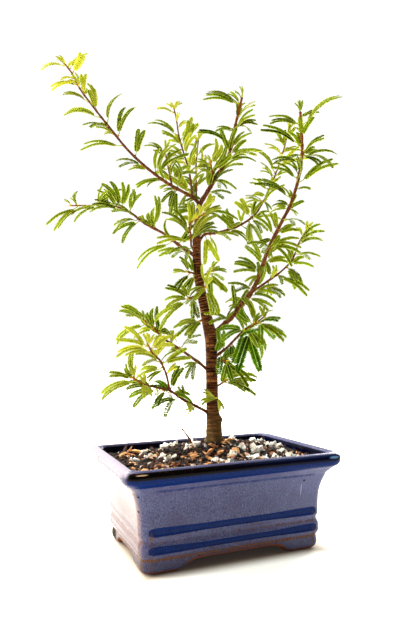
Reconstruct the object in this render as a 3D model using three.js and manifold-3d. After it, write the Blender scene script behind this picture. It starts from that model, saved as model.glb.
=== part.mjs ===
// A powder puff bonsai (Calliandra) growing in a glazed rectangular pot.
// Millimetres, +Z up. The pot's long side runs along X and its back faces +Y. The tree is
// laid out as the viewer sees it: across to the right, away from the viewer, and up.

import * as THREE from 'three';
import { mergeVertices } from 'three/addons/utils/BufferGeometryUtils.js';
import Module from 'manifold-3d';

const wasm = await Module();
wasm.setup();

// Clearance kept between neighbouring pieces
const GAP = 0.3;

// Driving dimensions of the pot
const POT_LENGTH = 152;
const POT_DEPTH = 114;
const POT_CORNER = 8;
const FLOOR_UNDERSIDE = 7;
const FLOOR_TOP = 11.5;
const SKIRT_WALL = 6.5;
const FOOT_LENGTH = 23;
const FOOT_DEPTH = 19;
const ARCH_HEIGHT = 6.2;
const DRAIN_DIAMETER = 14;
const DRAIN_PLACE = 30;
const SCREEN_SIDE = 24;
const SCREEN_THICKNESS = 0.8;
const SCREEN_HOLE = 4.6;
const SCREEN_PITCH = 7;

// Pot walls: height, and how far in from the widest outline
const POT_OUTSIDE = [
  [0, 16], [1.2, 14.4], [4.6, 13.2], [9, 13.6], [12.7, 12.2], [14.2, 13.2], [15.6, 13.2],
  [17, 12.2], [20, 13.1], [24.6, 12], [25.2, 13.1], [26.8, 13.1], [27.4, 12.1], [29, 12.2],
  [36, 11.7], [42, 10.7], [47, 8.9], [52, 6.4], [55.4, 3.2], [57.2, 0.9], [60.5, 0], [63.4, 0.7],
  [65, 2.5],
];
const POT_INSIDE = [
  [65, 6.2], [63.6, 7.2], [57, 8.2], [50, 12.2], [42, 15.8], [34, 17.6], [FLOOR_TOP, 19.5],
];

// Driving dimensions of the soil, with the trunk's place on it
const SOIL_EDGE = 59.6;
const SOIL_CROWN = 66.5;
const MOUND_SPREAD = 34;
const TRUNK_PLACE = [12.6, 18.6];
const ROOT_DEPTH = 24;
const SOIL_RINGS = [1, 0.84, 0.66, 0.48, 0.28];
const SOIL_SIDE_STEPS = 4;
const LUMPS = 20;

// Where the pot's middle stands, so that the origin is under the middle of the whole outline
const POT_PLACE = [4.4, -20.4];

// The viewer looks at the pot from its left front corner
const VIEW_TURN = -22.57;

// Driving dimensions of a leaf: a short stalk that forks into two arched, feathered halves
const LEAF_THICKNESS = 0.7;
const GROWN_REACH = 20;
const YOUNG_FROM = 0.9;
const STALK_SHARE = 0.16;
const FORK_ANGLE = 46;
const ARCH = 0.14;
const HALF_WIDTH = 2.7;
const WIDTH_SHARE = 0.15;
const RIB_HALF_WIDTH = 0.5;
const CUT_HALF_WIDTH = 1.1;
const UPRIGHT_FOLD = 0.42;
const UPRIGHT_ROLL = 2;
const SMALL_BLADE = 15;
const FACING = new THREE.Vector3(0.06, -0.72, 0.78);
const TAPER = 1.3;
const BENDS = [0, 13, -13, 26, -26, 39, -39, 52, -52];
const TRIMS = [1, 0.8, 0.62];

// The trunk in the viewer's frame from the soil up: across, away, up, radius
const TRUNK = [
  [1, 0, -ROOT_DEPTH, 4.6], [0, 0, -2, 6.6], [-0.4, 0, 6, 6.1], [-1, 0, 16, 5.6], [-2, 0, 26, 4.7],
  [-2, 0, 54, 4.4], [-2, 0, 73, 4.4], [-4, 0, 88, 4.5], [-7, 0, 104, 3.9], [-10, 0, 119, 3.6],
  [-12, 0, 135, 3.4], [-12, 0, 154, 3.1], [-12, 1, 167, 3],
];

// Each leafy stem: what it grows from, its radius at the base and the tip, its route, and its
// leaves as [place along the stem, bearing in degrees, reach, fork angle]
const STEMS = {
  leader: {
    from: 'trunk', radii: [2.7, 0.7],
    route: [[-12, 0, 152], [-12, 1, 164], [-11, 2, 174], [-9, 2, 183], [-2, 3, 195], [6, 5, 208],
      [12, 6, 218], [17, 8, 232], [20, 9, 248], [26, 10, 272]],
    leaves: [[0.14, 40, 13, 32], [0.2, 187, 20, 19], [0.22, 335, 28], [0.29, 192, 15, 29],
      [0.34, 337, 14.5, 36], [0.43, 342, 14, 53], [0.48, 25, 19, 40], [0.58, 12, 25.5, 30],
      [0.6, 353, 31, 18], [0.66, 49, 21, 31], [0.7, 160, 29, 12], [0.78, 163, 15, 27],
      [0.8, 27, 16, 39], [0.82, 3, 17, 16], [0.86, 36, 14.5, 31], [0.96, 137, 13, 17],
      [0.96, 163, 29, 20]],
  },
  upper_left_branch: {
    from: 'leader', radii: [1.6, 0.6],
    route: [[-9, 2, 183], [-16, -4, 188], [-33, -11, 196], [-49, -17, 207], [-63, -21, 220],
      [-75, -24, 235], [-85, -25, 248], [-96, -27, 263], [-102, -28, 275], [-107, -28, 282]],
    leaves: [[0.15, 93, 14.5, 24], [0.16, 257, 16.5, 25], [0.22, 104, 13, 16], [0.25, 191, 20, 21],
      [0.29, 57, 27.5, 26], [0.29, 83, 15, 14], [0.36, 183, 19, 39], [0.42, 72, 23, 15],
      [0.5, 180, 32, 24], [0.55, 70, 26, 25], [0.62, 192, 13, 45], [0.64, 64, 26, 27],
      [0.68, 165, 27.5, 18], [0.72, 107, 22, 12], [0.78, 162, 19.5, 21], [0.82, 97, 19, 10],
      [0.9, 194, 19, 24], [0.94, 62, 19, 16], [1, 192, 18, 25]],
  },
  left_back_shoot: {
    from: 'upper_left_branch', radii: [1.1, 0.6],
    route: [[-15, -3, 187], [-16, 8, 201], [-18, 16, 216], [-22, 21, 231], [-26, 24, 247],
      [-28, 26, 262], [-30, 27, 272]],
    leaves: [[0.38, 67, 13.5, 21], [0.44, 160, 13, 34], [0.52, 68, 18, 27], [0.62, 67, 22, 20],
      [0.64, 147, 15.5, 21], [0.68, 51, 23, 31], [0.73, 146, 28.5, 27], [0.96, 165, 16, 18]],
  },
  inner_back_shoot: {
    from: 'leader', radii: [1, 0.6],
    route: [[-10, 2, 179], [-12, 14, 193], [-12, 20, 208], [-12, 24, 222], [-10, 27, 244]],
    leaves: [[0.6, 57, 13, 32], [0.66, 110, 15, 32], [0.78, 90, 11, 12], [0.81, 44, 17.5, 16]],
  },
  left_inner_shoot: {
    from: 'upper_left_branch', radii: [0.9, 0.6],
    route: [[-30, -10, 194], [-32, -6, 204], [-34, -1, 216], [-36, 3, 226]],
    leaves: [[0.22, 25, 12, 37], [0.52, 172, 10, 15], [0.58, 17, 12, 25], [0.85, 35, 12, 38],
      [1, 155, 17, 35]],
  },
  inner_front_shoot: {
    from: 'leader', radii: [0.9, 0.6],
    route: [[3, 4, 204], [1, -2, 207], [0, -7, 212]],
    leaves: [[0.6, 47, 14.5, 25], [0.88, 167, 12, 44], [0.97, 55, 23, 30]],
  },
  right_back_branch: {
    from: 'trunk', radii: [1.4, 0.6],
    route: [[-11, 0, 152], [-6, 6, 160], [3, 11, 162], [19, 19, 168], [31, 26, 176], [38, 29, 183],
      [46, 33, 197], [55, 36, 217], [63, 39, 240], [68, 40, 257]],
    leaves: [[0.08, 280, 23, 34], [0.11, 285, 22, 51], [0.14, 334, 15.5, 29],
      [0.22, 336, 17.5, 27], [0.28, 132, 11, 26], [0.32, 315, 12, 20], [0.38, 282, 22, 30],
      [0.4, 126, 18.5, 26], [0.4, 313, 17.5, 29], [0.47, 153, 14, 34], [0.53, 172, 13, 16],
      [0.57, 142, 10, 14], [0.68, 147, 13, 35], [0.72, 126, 26.5, 14], [0.85, 167, 11, 32],
      [0.86, 27, 13, 41], [0.94, 65, 13.5, 26]],
  },
  front_shoot: {
    from: 'trunk', radii: [1, 0.6],
    route: [[-12, 0, 143], [-16, -8, 148], [-16, -14, 155], [-17, -18, 160], [-15, -21, 164],
      [-7, -24, 168]],
    leaves: [[0.22, 217, 13, 50], [0.38, 180, 25.5, 25], [0.42, 48, 25.5, 18], [0.46, 141, 22, 17],
      [0.58, 90, 18.5, 16], [0.78, 120, 14, 28], [0.86, 46, 18.5, 15], [0.94, 25, 17, 18],
      [1, 63, 16, 14]],
  },
  middle_left_branch: {
    from: 'trunk', radii: [1.7, 0.6],
    route: [[-12, 0, 141], [-24, 5, 150], [-38, 11, 162], [-54, 17, 172], [-67, 22, 183],
      [-80, 26, 189], [-97, 30, 191], [-117, 33, 192]],
    leaves: [[0.06, 200, 15, 29], [0.1, 190, 22, 20], [0.16, 41, 17.5, 32], [0.2, 214, 35, 23],
      [0.22, 103, 10, 11], [0.36, 78, 25.5, 14], [0.48, 223, 24, 42], [0.49, 199, 22, 23],
      [0.58, 72, 17, 12], [0.64, 75, 23, 27], [0.67, 138, 21, 26], [0.8, 209, 26.5, 33],
      [0.82, 47, 27.5, 28], [0.95, 216, 33, 25], [0.97, 80, 11, 29]],
  },
  right_branch: {
    from: 'trunk', radii: [2.3, 0.7],
    route: [[-2, 0, 80], [11, -6, 91], [21, -10, 102], [30, -14, 114], [36, -16, 128], [41, -18, 142],
      [50, -21, 160], [58, -23, 175], [64, -23, 193], [68, -22, 215], [68, -18, 247]],
    leaves: [[0.11, 180, 21, 49], [0.2, 166, 10, 21], [0.22, 332, 18.5, 20], [0.23, 350, 20],
      [0.26, 177, 15.5, 36], [0.33, 158, 19.5, 29], [0.36, 133, 17.5, 32], [0.37, 10, 16.5, 26],
      [0.44, 200, 14, 49], [0.45, 326, 21, 51], [0.48, 133, 20, 39], [0.49, 17, 16.5, 22],
      [0.55, 322, 10, 35], [0.6, 179, 10, 49], [0.64, 156, 28, 20], [0.7, 30, 31, 16],
      [0.72, 153, 21, 44], [0.82, 341, 24, 62], [0.83, 32, 14.5, 20], [0.86, 155, 35, 18],
      [0.94, 36, 37, 9], [0.95, 175, 22, 21], [0.98, 23, 13.5, 17]],
  },
  right_side_shoot: {
    from: 'right_branch', radii: [1.1, 0.6],
    route: [[28, -13, 111], [42, -3, 121], [53, 4, 129], [63, 8, 139], [69, 11, 153], [75, 13, 163]],
    leaves: [[0.18, 330, 18.5, 23], [0.32, 120, 16.5, 29], [0.4, 329, 26.5, 23],
      [0.41, 301, 21, 46], [0.55, 303, 14.5, 20], [0.59, 7, 16, 50], [0.72, 343, 12, 44],
      [0.83, 17, 18, 39], [0.84, 30, 22, 36]],
  },
  low_left_upper_branch: {
    from: 'trunk', radii: [1.5, 0.6],
    route: [[-3, 0, 52], [-12, -4, 60], [-27, -7, 71], [-39, -8, 79], [-44, -8, 85], [-52, -8, 92]],
    leaves: [[0.22, 251, 11, 18], [0.46, 205, 13, 53], [0.48, 20, 14.5, 28], [0.8, 336, 13, 44],
      [0.85, 93, 13.5, 24], [0.86, 191, 14, 49], [0.96, 211, 30, 18], [0.98, 153, 21, 24],
      [1, 148, 25.5, 36]],
  },
  low_left_lower_branch: {
    from: 'trunk', radii: [1.5, 0.6],
    route: [[-4, 0, 21], [-15, -8, 28], [-24, -12, 33], [-33, -17, 40], [-40, -21, 42], [-50, -26, 45],
      [-58, -30, 50]],
    leaves: [[0.44, 223, 16, 53], [0.54, 341, 12, 31], [0.56, 50, 19], [0.64, 263, 18.5, 39],
      [0.7, 207, 22, 33], [0.74, 183, 20, 22], [0.96, 205, 29, 19], [0.98, 96, 17, 13],
      [1, 122, 13.5, 26], [1, 167, 16, 22]],
  },
  low_left_shoot: {
    from: 'low_left_lower_branch', radii: [1, 0.6],
    route: [[-33, -17, 40], [-35, -23, 52], [-39, -27, 62], [-44, -29, 67], [-47, -30, 73]],
    leaves: [[0.5, 207, 35, 34], [0.57, 19, 22, 27], [0.61, 180, 13.5, 45], [0.69, 166, 20, 41],
      [0.92, 47, 14.5, 25], [0.94, 304, 13, 43], [0.96, 152, 23, 42], [0.99, 193, 25.5, 19]],
  },
  low_right_branch: {
    from: 'trunk', radii: [1.4, 0.6],
    route: [[-2, 0, 62], [9, -6, 70], [13, -10, 74], [22, -17, 83], [29, -21, 87], [36, -24, 92]],
    leaves: [[0.64, 272, 23, 53], [0.7, 187, 18.5, 45], [0.72, 313, 17, 18], [0.76, 268, 32, 34],
      [0.82, 137, 14.5, 23], [0.86, 112, 16.5, 14], [0.88, 7, 15.5, 18], [0.9, 334, 24, 21],
      [0.93, 293, 16, 46], [1, 36, 12, 16]],
  },
  low_right_spur: {
    from: 'trunk', radii: [1, 0.7], route: [[-2, 0, 58], [5, -8, 61], [9, -13, 61]],
    leaves: [[0.92, 320, 26.5, 27], [1, 276, 16, 42]],
  },
  lowest_spur: {
    from: 'trunk', radii: [1, 0.7], route: [[-2, 0, 40], [4, -4, 43], [8, -6, 46]],
    leaves: [[0.88, 342, 14, 34], [0.96, 17, 26.5, 37], [1, 347, 25, 47]],
  },
  left_upper_spur: {
    from: 'trunk', radii: [1, 0.7], route: [[-11, 0, 127], [-16, -6, 128], [-19, -10, 128]],
    leaves: [[0.74, 222, 18.5, 21]],
  },
  left_lower_spur: {
    from: 'trunk', radii: [1, 0.7], route: [[-9, 0, 112], [-14, -7, 110], [-18, -11, 108]],
    leaves: [[0.73, 277, 14.5, 19], [0.94, 148, 17, 40], [1, 219, 32, 22]],
  },
  right_upper_spur: {
    from: 'trunk', radii: [1, 0.7], route: [[-11, 0, 126], [-6, 5, 128], [-1, 9, 131]],
    leaves: [[0.66, 300, 13, 51], [0.84, 303, 17, 52], [1, 0, 12, 20]],
  },
  front_upper_spur: {
    from: 'trunk', radii: [1, 0.7], route: [[-10, 0, 117], [-7, -9, 117], [-5, -13, 116]],
    leaves: [[1, 203, 14.5, 23], [1, 287, 23, 18]],
  },
  front_middle_spur: {
    from: 'trunk', radii: [1, 0.7], route: [[-6, 0, 94], [-8, -8, 92], [-10, -12, 91]],
    leaves: [[0.75, 230, 16, 18], [0.9, 226, 18, 19], [1, 190, 16, 18]],
  },
  front_lower_spur: {
    from: 'trunk', radii: [1, 0.7], route: [[-2, 0, 32], [1, -9, 33], [2, -12, 34]],
    leaves: [[1, 199, 13, 29]],
  },
};

// A thin dead stem beside the trunk, in the viewer's frame
const DEAD_STEM = [[-19, -2, -8, 0.9], [-19, -2, 1, 0.9], [-22, -2, 6, 0.8], [-25, -2, 10, 0.9]];

const finish = (color, roughness, metalness = 0) =>
  new THREE.MeshStandardMaterial({ color, roughness, metalness });
const glaze = finish('#3c4474', 0.25);
const soilMix = finish('#3a2c22', 0.95);
const bark = finish('#4a2e1c', 0.85);
const leafGreen = finish('#3f6b1f', 0.6);
const plastic = finish('#22242a', 0.6);

const radians = THREE.MathUtils.degToRad;
const at = (row) => new THREE.Vector3(row[0], row[1], row[2]);

// A fixed draw between 0 and 1 for the number-th thing of a kind
function draw(kind, number) {
  const wave = Math.sin(kind * 12.9898 + number * 78.233) * 437.5453;
  return wave - Math.floor(wave);
}

// Solids from three.js geometry, and back
function solid(geometry) {
  const shape = geometry.clone();
  shape.deleteAttribute('normal');
  shape.deleteAttribute('uv');
  const merged = mergeVertices(shape, 1e-4);
  return new wasm.Manifold(new wasm.Mesh({
    numProp: 3,
    vertProperties: merged.attributes.position.array,
    triVerts: Uint32Array.from(merged.index.array),
  }));
}

function surface(points, faces) {
  const geometry = new THREE.BufferGeometry();
  geometry.setAttribute('position', new THREE.Float32BufferAttribute(points.flatMap((p) => p.toArray()), 3));
  geometry.setIndex(faces.flat());
  return geometry;
}

function meshOf(name, manifold, material) {
  const { vertProperties, triVerts } = manifold.getMesh();
  const geometry = new THREE.BufferGeometry();
  geometry.setAttribute('position', new THREE.Float32BufferAttribute(vertProperties, 3));
  geometry.setIndex([...triVerts]);
  geometry.computeVertexNormals();
  const mesh = new THREE.Mesh(geometry, material);
  mesh.name = name;
  return mesh;
}

// A cut may leave a scrap behind: only the largest body is kept
function largest(shape) {
  return shape.decompose().reduce((best, body) => (body.volume() > best.volume() ? body : best));
}

// A closed skin through rings of equal count, with a fan at each end
function loft(rings, bottom, top) {
  const count = rings[0].length;
  const points = [...rings.flat(), bottom, top];
  const faces = [];
  for (let side = 0; side < count; side += 1) {
    const next = (side + 1) % count;
    faces.push([points.length - 2, next, side]);
    for (let level = 0; level < rings.length - 1; level += 1) {
      const low = level * count;
      const high = low + count;
      faces.push([low + side, low + next, high + next], [low + side, high + next, high + side]);
    }
    const last = (rings.length - 1) * count;
    faces.push([points.length - 1, last + side, last + next]);
  }
  return surface(points, faces);
}

// A level rounded rectangle, with extra points along its sides
function roundedRing(inset, height, sideSteps = 1) {
  const corner = Math.max(POT_CORNER - inset * 0.15, 4);
  const reachX = POT_LENGTH / 2 - inset - corner;
  const reachY = POT_DEPTH / 2 - inset - corner;
  const ring = [];
  [[1, 1], [-1, 1], [-1, -1], [1, -1]].forEach(([signX, signY], quarter) => {
    for (let step = 0; step <= 3; step += 1) {
      const angle = radians(90 * quarter + 30 * step);
      ring.push(new THREE.Vector3(
        signX * reachX + corner * Math.cos(angle), signY * reachY + corner * Math.sin(angle), height));
    }
    const across = quarter % 2 === 0 ? new THREE.Vector3(-signX, 0, 0) : new THREE.Vector3(0, -signY, 0);
    const run = quarter % 2 === 0 ? 2 * reachX : 2 * reachY;
    const start = ring[ring.length - 1];
    for (let step = 1; step < sideSteps; step += 1) {
      ring.push(start.clone().addScaledVector(across, (run * step) / sideSteps));
    }
  });
  return ring;
}

// The pot: lofted walls, a recessed underside, arches between the corner feet, drain holes
function archCutter(halfRun, halfReach) {
  const outline = new THREE.Shape();
  outline.moveTo(-halfRun, -1);
  outline.lineTo(-halfRun, 0);
  outline.quadraticCurveTo(-halfRun + 0.5, 3, -halfRun + 4, 3.4);
  outline.quadraticCurveTo(-halfRun + 6, ARCH_HEIGHT, -halfRun + 12, ARCH_HEIGHT);
  outline.lineTo(halfRun - 12, ARCH_HEIGHT);
  outline.quadraticCurveTo(halfRun - 6, ARCH_HEIGHT, halfRun - 4, 3.4);
  outline.quadraticCurveTo(halfRun - 0.5, 3, halfRun, 0);
  outline.lineTo(halfRun, -1);
  const cutter = new THREE.ExtrudeGeometry(
    outline, { depth: 2 * halfReach, bevelEnabled: false, curveSegments: 3 });
  cutter.translate(0, 0, -halfReach);
  cutter.rotateX(Math.PI / 2);
  return cutter;
}

function makePot() {
  const rings = [...POT_OUTSIDE, ...POT_INSIDE].map(([height, inset]) => roundedRing(inset, height));
  let pot = solid(loft(rings, new THREE.Vector3(0, 0, 0), new THREE.Vector3(0, 0, FLOOR_TOP)));
  const recessInset = POT_OUTSIDE[2][1] + SKIRT_WALL;
  const recess = loft([roundedRing(recessInset, -1), roundedRing(recessInset, FLOOR_UNDERSIDE)],
    new THREE.Vector3(0, 0, -1), new THREE.Vector3(0, 0, FLOOR_UNDERSIDE));
  const footInset = POT_OUTSIDE[0][1];
  const longArch = archCutter(POT_LENGTH / 2 - footInset - FOOT_LENGTH, POT_DEPTH);
  const shortArch = archCutter(POT_DEPTH / 2 - footInset - FOOT_DEPTH, POT_LENGTH);
  shortArch.rotateZ(Math.PI / 2);
  pot = pot.subtract(solid(recess)).subtract(solid(longArch)).subtract(solid(shortArch));
  for (const side of [-1, 1]) {
    const drain = new THREE.CylinderGeometry(DRAIN_DIAMETER / 2, DRAIN_DIAMETER / 2, 20, 16);
    drain.rotateX(Math.PI / 2);
    drain.translate(side * DRAIN_PLACE, 0, FLOOR_TOP - 6);
    pot = pot.subtract(solid(drain));
  }
  return meshOf('pot', pot, glaze);
}

// A square of plastic mesh over each drain hole keeps the soil in
function makeScreen(name, side) {
  const block = (length, x, y) => {
    const shape = new THREE.BoxGeometry(length, length, length === SCREEN_SIDE ? SCREEN_THICKNESS : 4);
    shape.translate(side * DRAIN_PLACE + x, y, FLOOR_TOP + GAP + SCREEN_THICKNESS / 2);
    return solid(shape);
  };
  let screen = block(SCREEN_SIDE, 0, 0);
  for (const row of [-1, 1]) {
    for (const column of [-1, 1]) {
      screen = screen.subtract(block(SCREEN_HOLE, column * SCREEN_PITCH, row * SCREEN_PITCH));
    }
  }
  return meshOf(name, screen, plastic);
}

// The soil: it fills the pot and is mounded up to the trunk
function soilHeight(x, y) {
  const distance = Math.hypot(x - TRUNK_PLACE[0], y - TRUNK_PLACE[1]);
  const mound = (SOIL_CROWN - SOIL_EDGE) * Math.exp(-((distance / MOUND_SPREAD) ** 2));
  const rough = Math.sin(x * 0.41 + y * 0.17) * Math.sin(y * 0.53 - x * 0.12) * 0.9;
  return SOIL_EDGE + mound + rough * Math.min(1, distance / 12);
}

function lump(x, y, size, squash, turn) {
  const shape = new THREE.OctahedronGeometry(size * 0.6, 0);
  shape.scale(1, 0.8, squash);
  shape.rotateZ(turn);
  shape.rotateX(turn * 0.3);
  shape.translate(x, y, soilHeight(x, y) + size * squash * 0.18);
  return solid(shape);
}

function makeSoil() {
  const wall = [[FLOOR_TOP, 19.5], [34, 17.6], [42, 15.8], [50, 12.2], [57, 8.2]];
  const under = wall.map(([height, inset]) =>
    roundedRing(inset + GAP, Math.max(height, FLOOR_TOP + GAP), SOIL_SIDE_STEPS));
  const rim = roundedRing(7.8 + 2 * GAP, SOIL_EDGE, SOIL_SIDE_STEPS);
  const crown = new THREE.Vector3(TRUNK_PLACE[0], TRUNK_PLACE[1], 0);
  const over = SOIL_RINGS.map((share) => rim.map((point) => {
    const place = crown.clone().lerp(point, share);
    place.z = soilHeight(place.x, place.y);
    return place;
  }));
  crown.z = SOIL_CROWN;
  let soil = solid(loft([...under, ...over], new THREE.Vector3(0, 0, FLOOR_TOP + GAP), crown));
  for (let number = 0; number < LUMPS; number += 1) {
    const x = (draw(1, number) - 0.5) * (POT_LENGTH - 38);
    const y = (draw(2, number) - 0.5) * (POT_DEPTH - 38);
    if (Math.hypot(x - TRUNK_PLACE[0], y - TRUNK_PLACE[1]) > 14) {
      const size = 3.6 + 4 * draw(3, number);
      soil = soil.add(lump(x, y, size, number % 4 === 0 ? 0.4 : 0.75, 6 * draw(4, number)));
    }
  }
  for (const side of [-1, 1]) {
    const room = new THREE.BoxGeometry(
      SCREEN_SIDE + 2 * GAP, SCREEN_SIDE + 2 * GAP, 2 * (SCREEN_THICKNESS + 2 * GAP));
    room.translate(side * DRAIN_PLACE, 0, FLOOR_TOP);
    soil = soil.subtract(solid(room));
  }
  return soil;
}
// Stems: a ring round every point of the route, carried along it without twist
function stemRings(rows, sides, grow = 0) {
  const points = rows.map(at);
  let normal = new THREE.Vector3(0.31, 0.9, 0.3);
  return points.map((point, index) => {
    const before = points[Math.max(index - 1, 0)];
    const after = points[Math.min(index + 1, points.length - 1)];
    const along = after.clone().sub(before).normalize();
    normal = normal.clone().addScaledVector(along, -normal.dot(along)).normalize();
    const across = along.clone().cross(normal);
    return Array.from({ length: sides }, (_, side) => {
      const angle = (2 * Math.PI * side) / sides;
      return point.clone()
        .addScaledVector(normal, (rows[index][3] + grow) * Math.cos(angle))
        .addScaledVector(across, (rows[index][3] + grow) * Math.sin(angle));
    });
  });
}

function stemSolid(rows, sides, grow = 0) {
  const first = at(rows[0]);
  const last = at(rows[rows.length - 1]);
  const tip = last.clone().sub(at(rows[rows.length - 2])).setLength(0.4 + grow);
  const root = first.clone().sub(at(rows[1])).setLength(grow);
  return solid(loft(stemRings(rows, sides, grow), first.add(root), last.add(tip)));
}

function stemRows(stem) {
  const [thick, thin] = stem.radii;
  const last = stem.route.length - 1;
  return stem.route.map((point, index) => [...point, thin + (thick - thin) * (1 - index / last) ** TAPER]);
}

// The point at a share of a stem's length
function alongStem(route, share) {
  const points = route.map(at);
  const runs = points.slice(1).map((point, index) => point.distanceTo(points[index]));
  let rest = share * runs.reduce((sum, run) => sum + run, 0);
  let index = 0;
  while (index < runs.length - 1 && rest > runs[index]) {
    rest -= runs[index];
    index += 1;
  }
  return points[index].clone().lerp(points[index + 1], Math.min(rest / runs[index], 1));
}

// The frame of one leaf: where it leaves the stem, its run, its face, and its two halves
function leafForm(stem, kind, number, bend, trim) {
  const [place, bearing, reach, given] = stem.leaves[number];
  const folded = 1 - UPRIGHT_FOLD * Math.max(0, Math.sin(radians(bearing)));
  const fork = given ?? FORK_ANGLE * folded * (0.84 + 0.32 * draw(kind + 30, number));
  const grown = place < YOUNG_FROM ? Math.max(reach, GROWN_REACH) : reach;
  const toViewer = number % 2 === 0 ? -1 : 1;
  const lean = toViewer * Math.acos(reach / grown) * 0.85 + radians(16 * (draw(kind, number) - 0.5) + bend);
  const turn = radians(bearing);
  const run = new THREE.Vector3(
    Math.cos(turn) * Math.cos(lean), Math.sin(lean), Math.sin(turn) * Math.cos(lean));
  const roll = (draw(kind + 60, number) - 0.5) * (0.5 + UPRIGHT_ROLL * Math.max(0, Math.sin(turn)));
  const face = FACING.clone().add(new THREE.Vector3(roll, 0, 0));
  face.addScaledVector(run, -face.dot(run)).normalize();
  const side = run.clone().cross(face);
  const length = grown * trim;
  const stalk = length * STALK_SHARE;
  const start = alongStem(stem.route, place);
  const root = start.clone().addScaledVector(run, stalk);
  const half = radians(fork / 2);
  const blade = (length - stalk) / Math.cos(half);
  const halves = [-1, 1].map((hand) => ({
    hand,
    along: run.clone().multiplyScalar(Math.cos(half)).addScaledVector(side, hand * Math.sin(half)),
    across: side.clone().multiplyScalar(Math.cos(half)).addScaledVector(run, -hand * Math.sin(half)),
  }));
  const width = Math.min(HALF_WIDTH, blade * WIDTH_SHARE);
  return { start, root, run, side, face, stalk, blade, half, halves, width };
}

// A point of a leaf half: t along its rib, and w to the side
function onHalf(leaf, part, t, w) {
  return leaf.root.clone()
    .addScaledVector(part.along, leaf.blade * t)
    .addScaledVector(leaf.face, leaf.blade * ARCH * 4 * t * (1 - t))
    .addScaledVector(part.across, w);
}

// Thin boxes that hold a leaf or a stem, for keeping neighbours clear
function boxBetween(from, to, across, halfWidth, halfThickness) {
  const along = to.clone().sub(from);
  const length = along.length();
  along.normalize();
  const wide = across.clone().addScaledVector(along, -across.dot(along)).normalize();
  return {
    centre: from.clone().add(to).multiplyScalar(0.5),
    axes: [along, wide, along.clone().cross(wide)],
    halves: [length / 2, halfWidth, halfThickness],
  };
}

function leafBoxes(leaf) {
  const sunk = leaf.face.clone().multiplyScalar(-LEAF_THICKNESS / 2);
  const boxes = [boxBetween(leaf.start.clone().add(sunk), leaf.root.clone().add(sunk), leaf.side, 0.8, 0.6)];
  for (const part of leaf.halves) {
    for (const [from, to] of [[0, 0.34], [0.34, 0.67], [0.67, 1]]) {
      const box = boxBetween(onHalf(leaf, part, from, 0).add(sunk), onHalf(leaf, part, to, 0).add(sunk),
        part.across, leaf.width, LEAF_THICKNESS / 2 + 0.3);
      boxes.push(box);
    }
  }
  return boxes;
}

function stemBoxes(rows) {
  return rows.slice(1).map((row, index) => {
    const radius = Math.max(row[3], rows[index][3]);
    return boxBetween(at(rows[index]), at(row), new THREE.Vector3(0.31, 0.9, 0.3), radius, radius);
  });
}

function boxesMeet(one, two) {
  const between = two.centre.clone().sub(one.centre);
  if (between.length() > Math.hypot(...one.halves) + Math.hypot(...two.halves) + GAP) return false;
  const tests = [...one.axes, ...two.axes];
  for (const a of one.axes) {
    for (const b of two.axes) tests.push(a.clone().cross(b));
  }
  return tests.every((axis) => {
    const length = axis.length();
    if (length < 1e-6) return true;
    const spread = (box) => box.halves.reduce((sum, half, i) => sum + half * Math.abs(box.axes[i].dot(axis)), 0);
    return Math.abs(between.dot(axis)) <= spread(one) + spread(two) + GAP * length;
  });
}

const meets = (boxes, others) => boxes.some((box) => others.some((other) => boxesMeet(box, other)));

// Each leaf takes the first bend that is clear of every other stem and leaf. Where none is,
// it may cross a leaf of its own stem, and where that fails too it is left out.
function settleLeaves() {
  const names = Object.keys(STEMS);
  const stems = new Map(names.map((name) => [name, stemBoxes(stemRows(STEMS[name]))]));
  stems.set('trunk', stemBoxes(TRUNK));
  stems.set('dead_stem', stemBoxes(DEAD_STEM));
  const settled = [];
  names.forEach((name, kind) => {
    const stem = STEMS[name];
    const otherStems = [...stems].filter(([key]) => key !== name).flatMap(([, boxes]) => boxes);
    stem.leaves.forEach((row, number) => {
      for (const strict of [true, false]) {
        for (const trim of TRIMS) {
          for (const bend of BENDS) {
            const leaf = leafForm(stem, kind + 1, number, bend, trim);
            const boxes = leafBoxes(leaf);
            const rivals = settled.filter((other) => strict || other.name !== name)
              .flatMap((other) => (other.name === name ? other.boxes.slice(1) : other.boxes));
            const tested = strict ? boxes.slice(1) : boxes;
            if (!meets(boxes, otherStems) && !meets(tested, rivals)) {
              settled.push({ name, leaf, boxes });
              return;
            }
          }
        }
      }
    });
  });
  return settled;
}

// One leaf as a thin plate: a stalk that widens from a point inside the stem, a fork, and two
// halves. The outer margin of a half is cut in to the rib between its leaflets.
function leafSolid(leaf) {
  const small = leaf.blade < SMALL_BLADE;
  const outerMargin = small ? [[0.4, leaf.width]]
    : [[0.27, leaf.width], [0.52, CUT_HALF_WIDTH], [0.8, leaf.width]];
  const innerPlace = 0.52;
  const innerWidth = Math.min(leaf.width, 0.8 * leaf.blade * innerPlace * Math.tan(leaf.half));
  const points = [
    leaf.start,
    leaf.root.clone().addScaledVector(leaf.side, -RIB_HALF_WIDTH),
    leaf.root.clone().addScaledVector(leaf.side, RIB_HALF_WIDTH),
    leaf.root.clone().addScaledVector(leaf.run, 1),
  ];
  const faces = [[0, 2, 1], [1, 2, 3]];
  leaf.halves.forEach((part) => {
    const right = part.hand > 0;
    const add = (a, b, c) => faces.push(right ? [a, b, c] : [a, c, b]);
    points.push(onHalf(leaf, part, innerPlace, -part.hand * innerWidth), onHalf(leaf, part, 1, 0));
    const [inner, tip] = [points.length - 2, points.length - 1];
    const margin = [right ? 2 : 1];
    for (const [t, width] of outerMargin) {
      points.push(onHalf(leaf, part, t, part.hand * width));
      margin.push(points.length - 1);
    }
    add(margin[0], margin[1], 3);
    add(3, margin[1], inner);
    [...margin.slice(1), tip].forEach((point, index, edge) => {
      if (index > 0) add(edge[index - 1], point, inner);
    });
  });
  return plate(points, faces, leaf.face);
}

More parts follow.
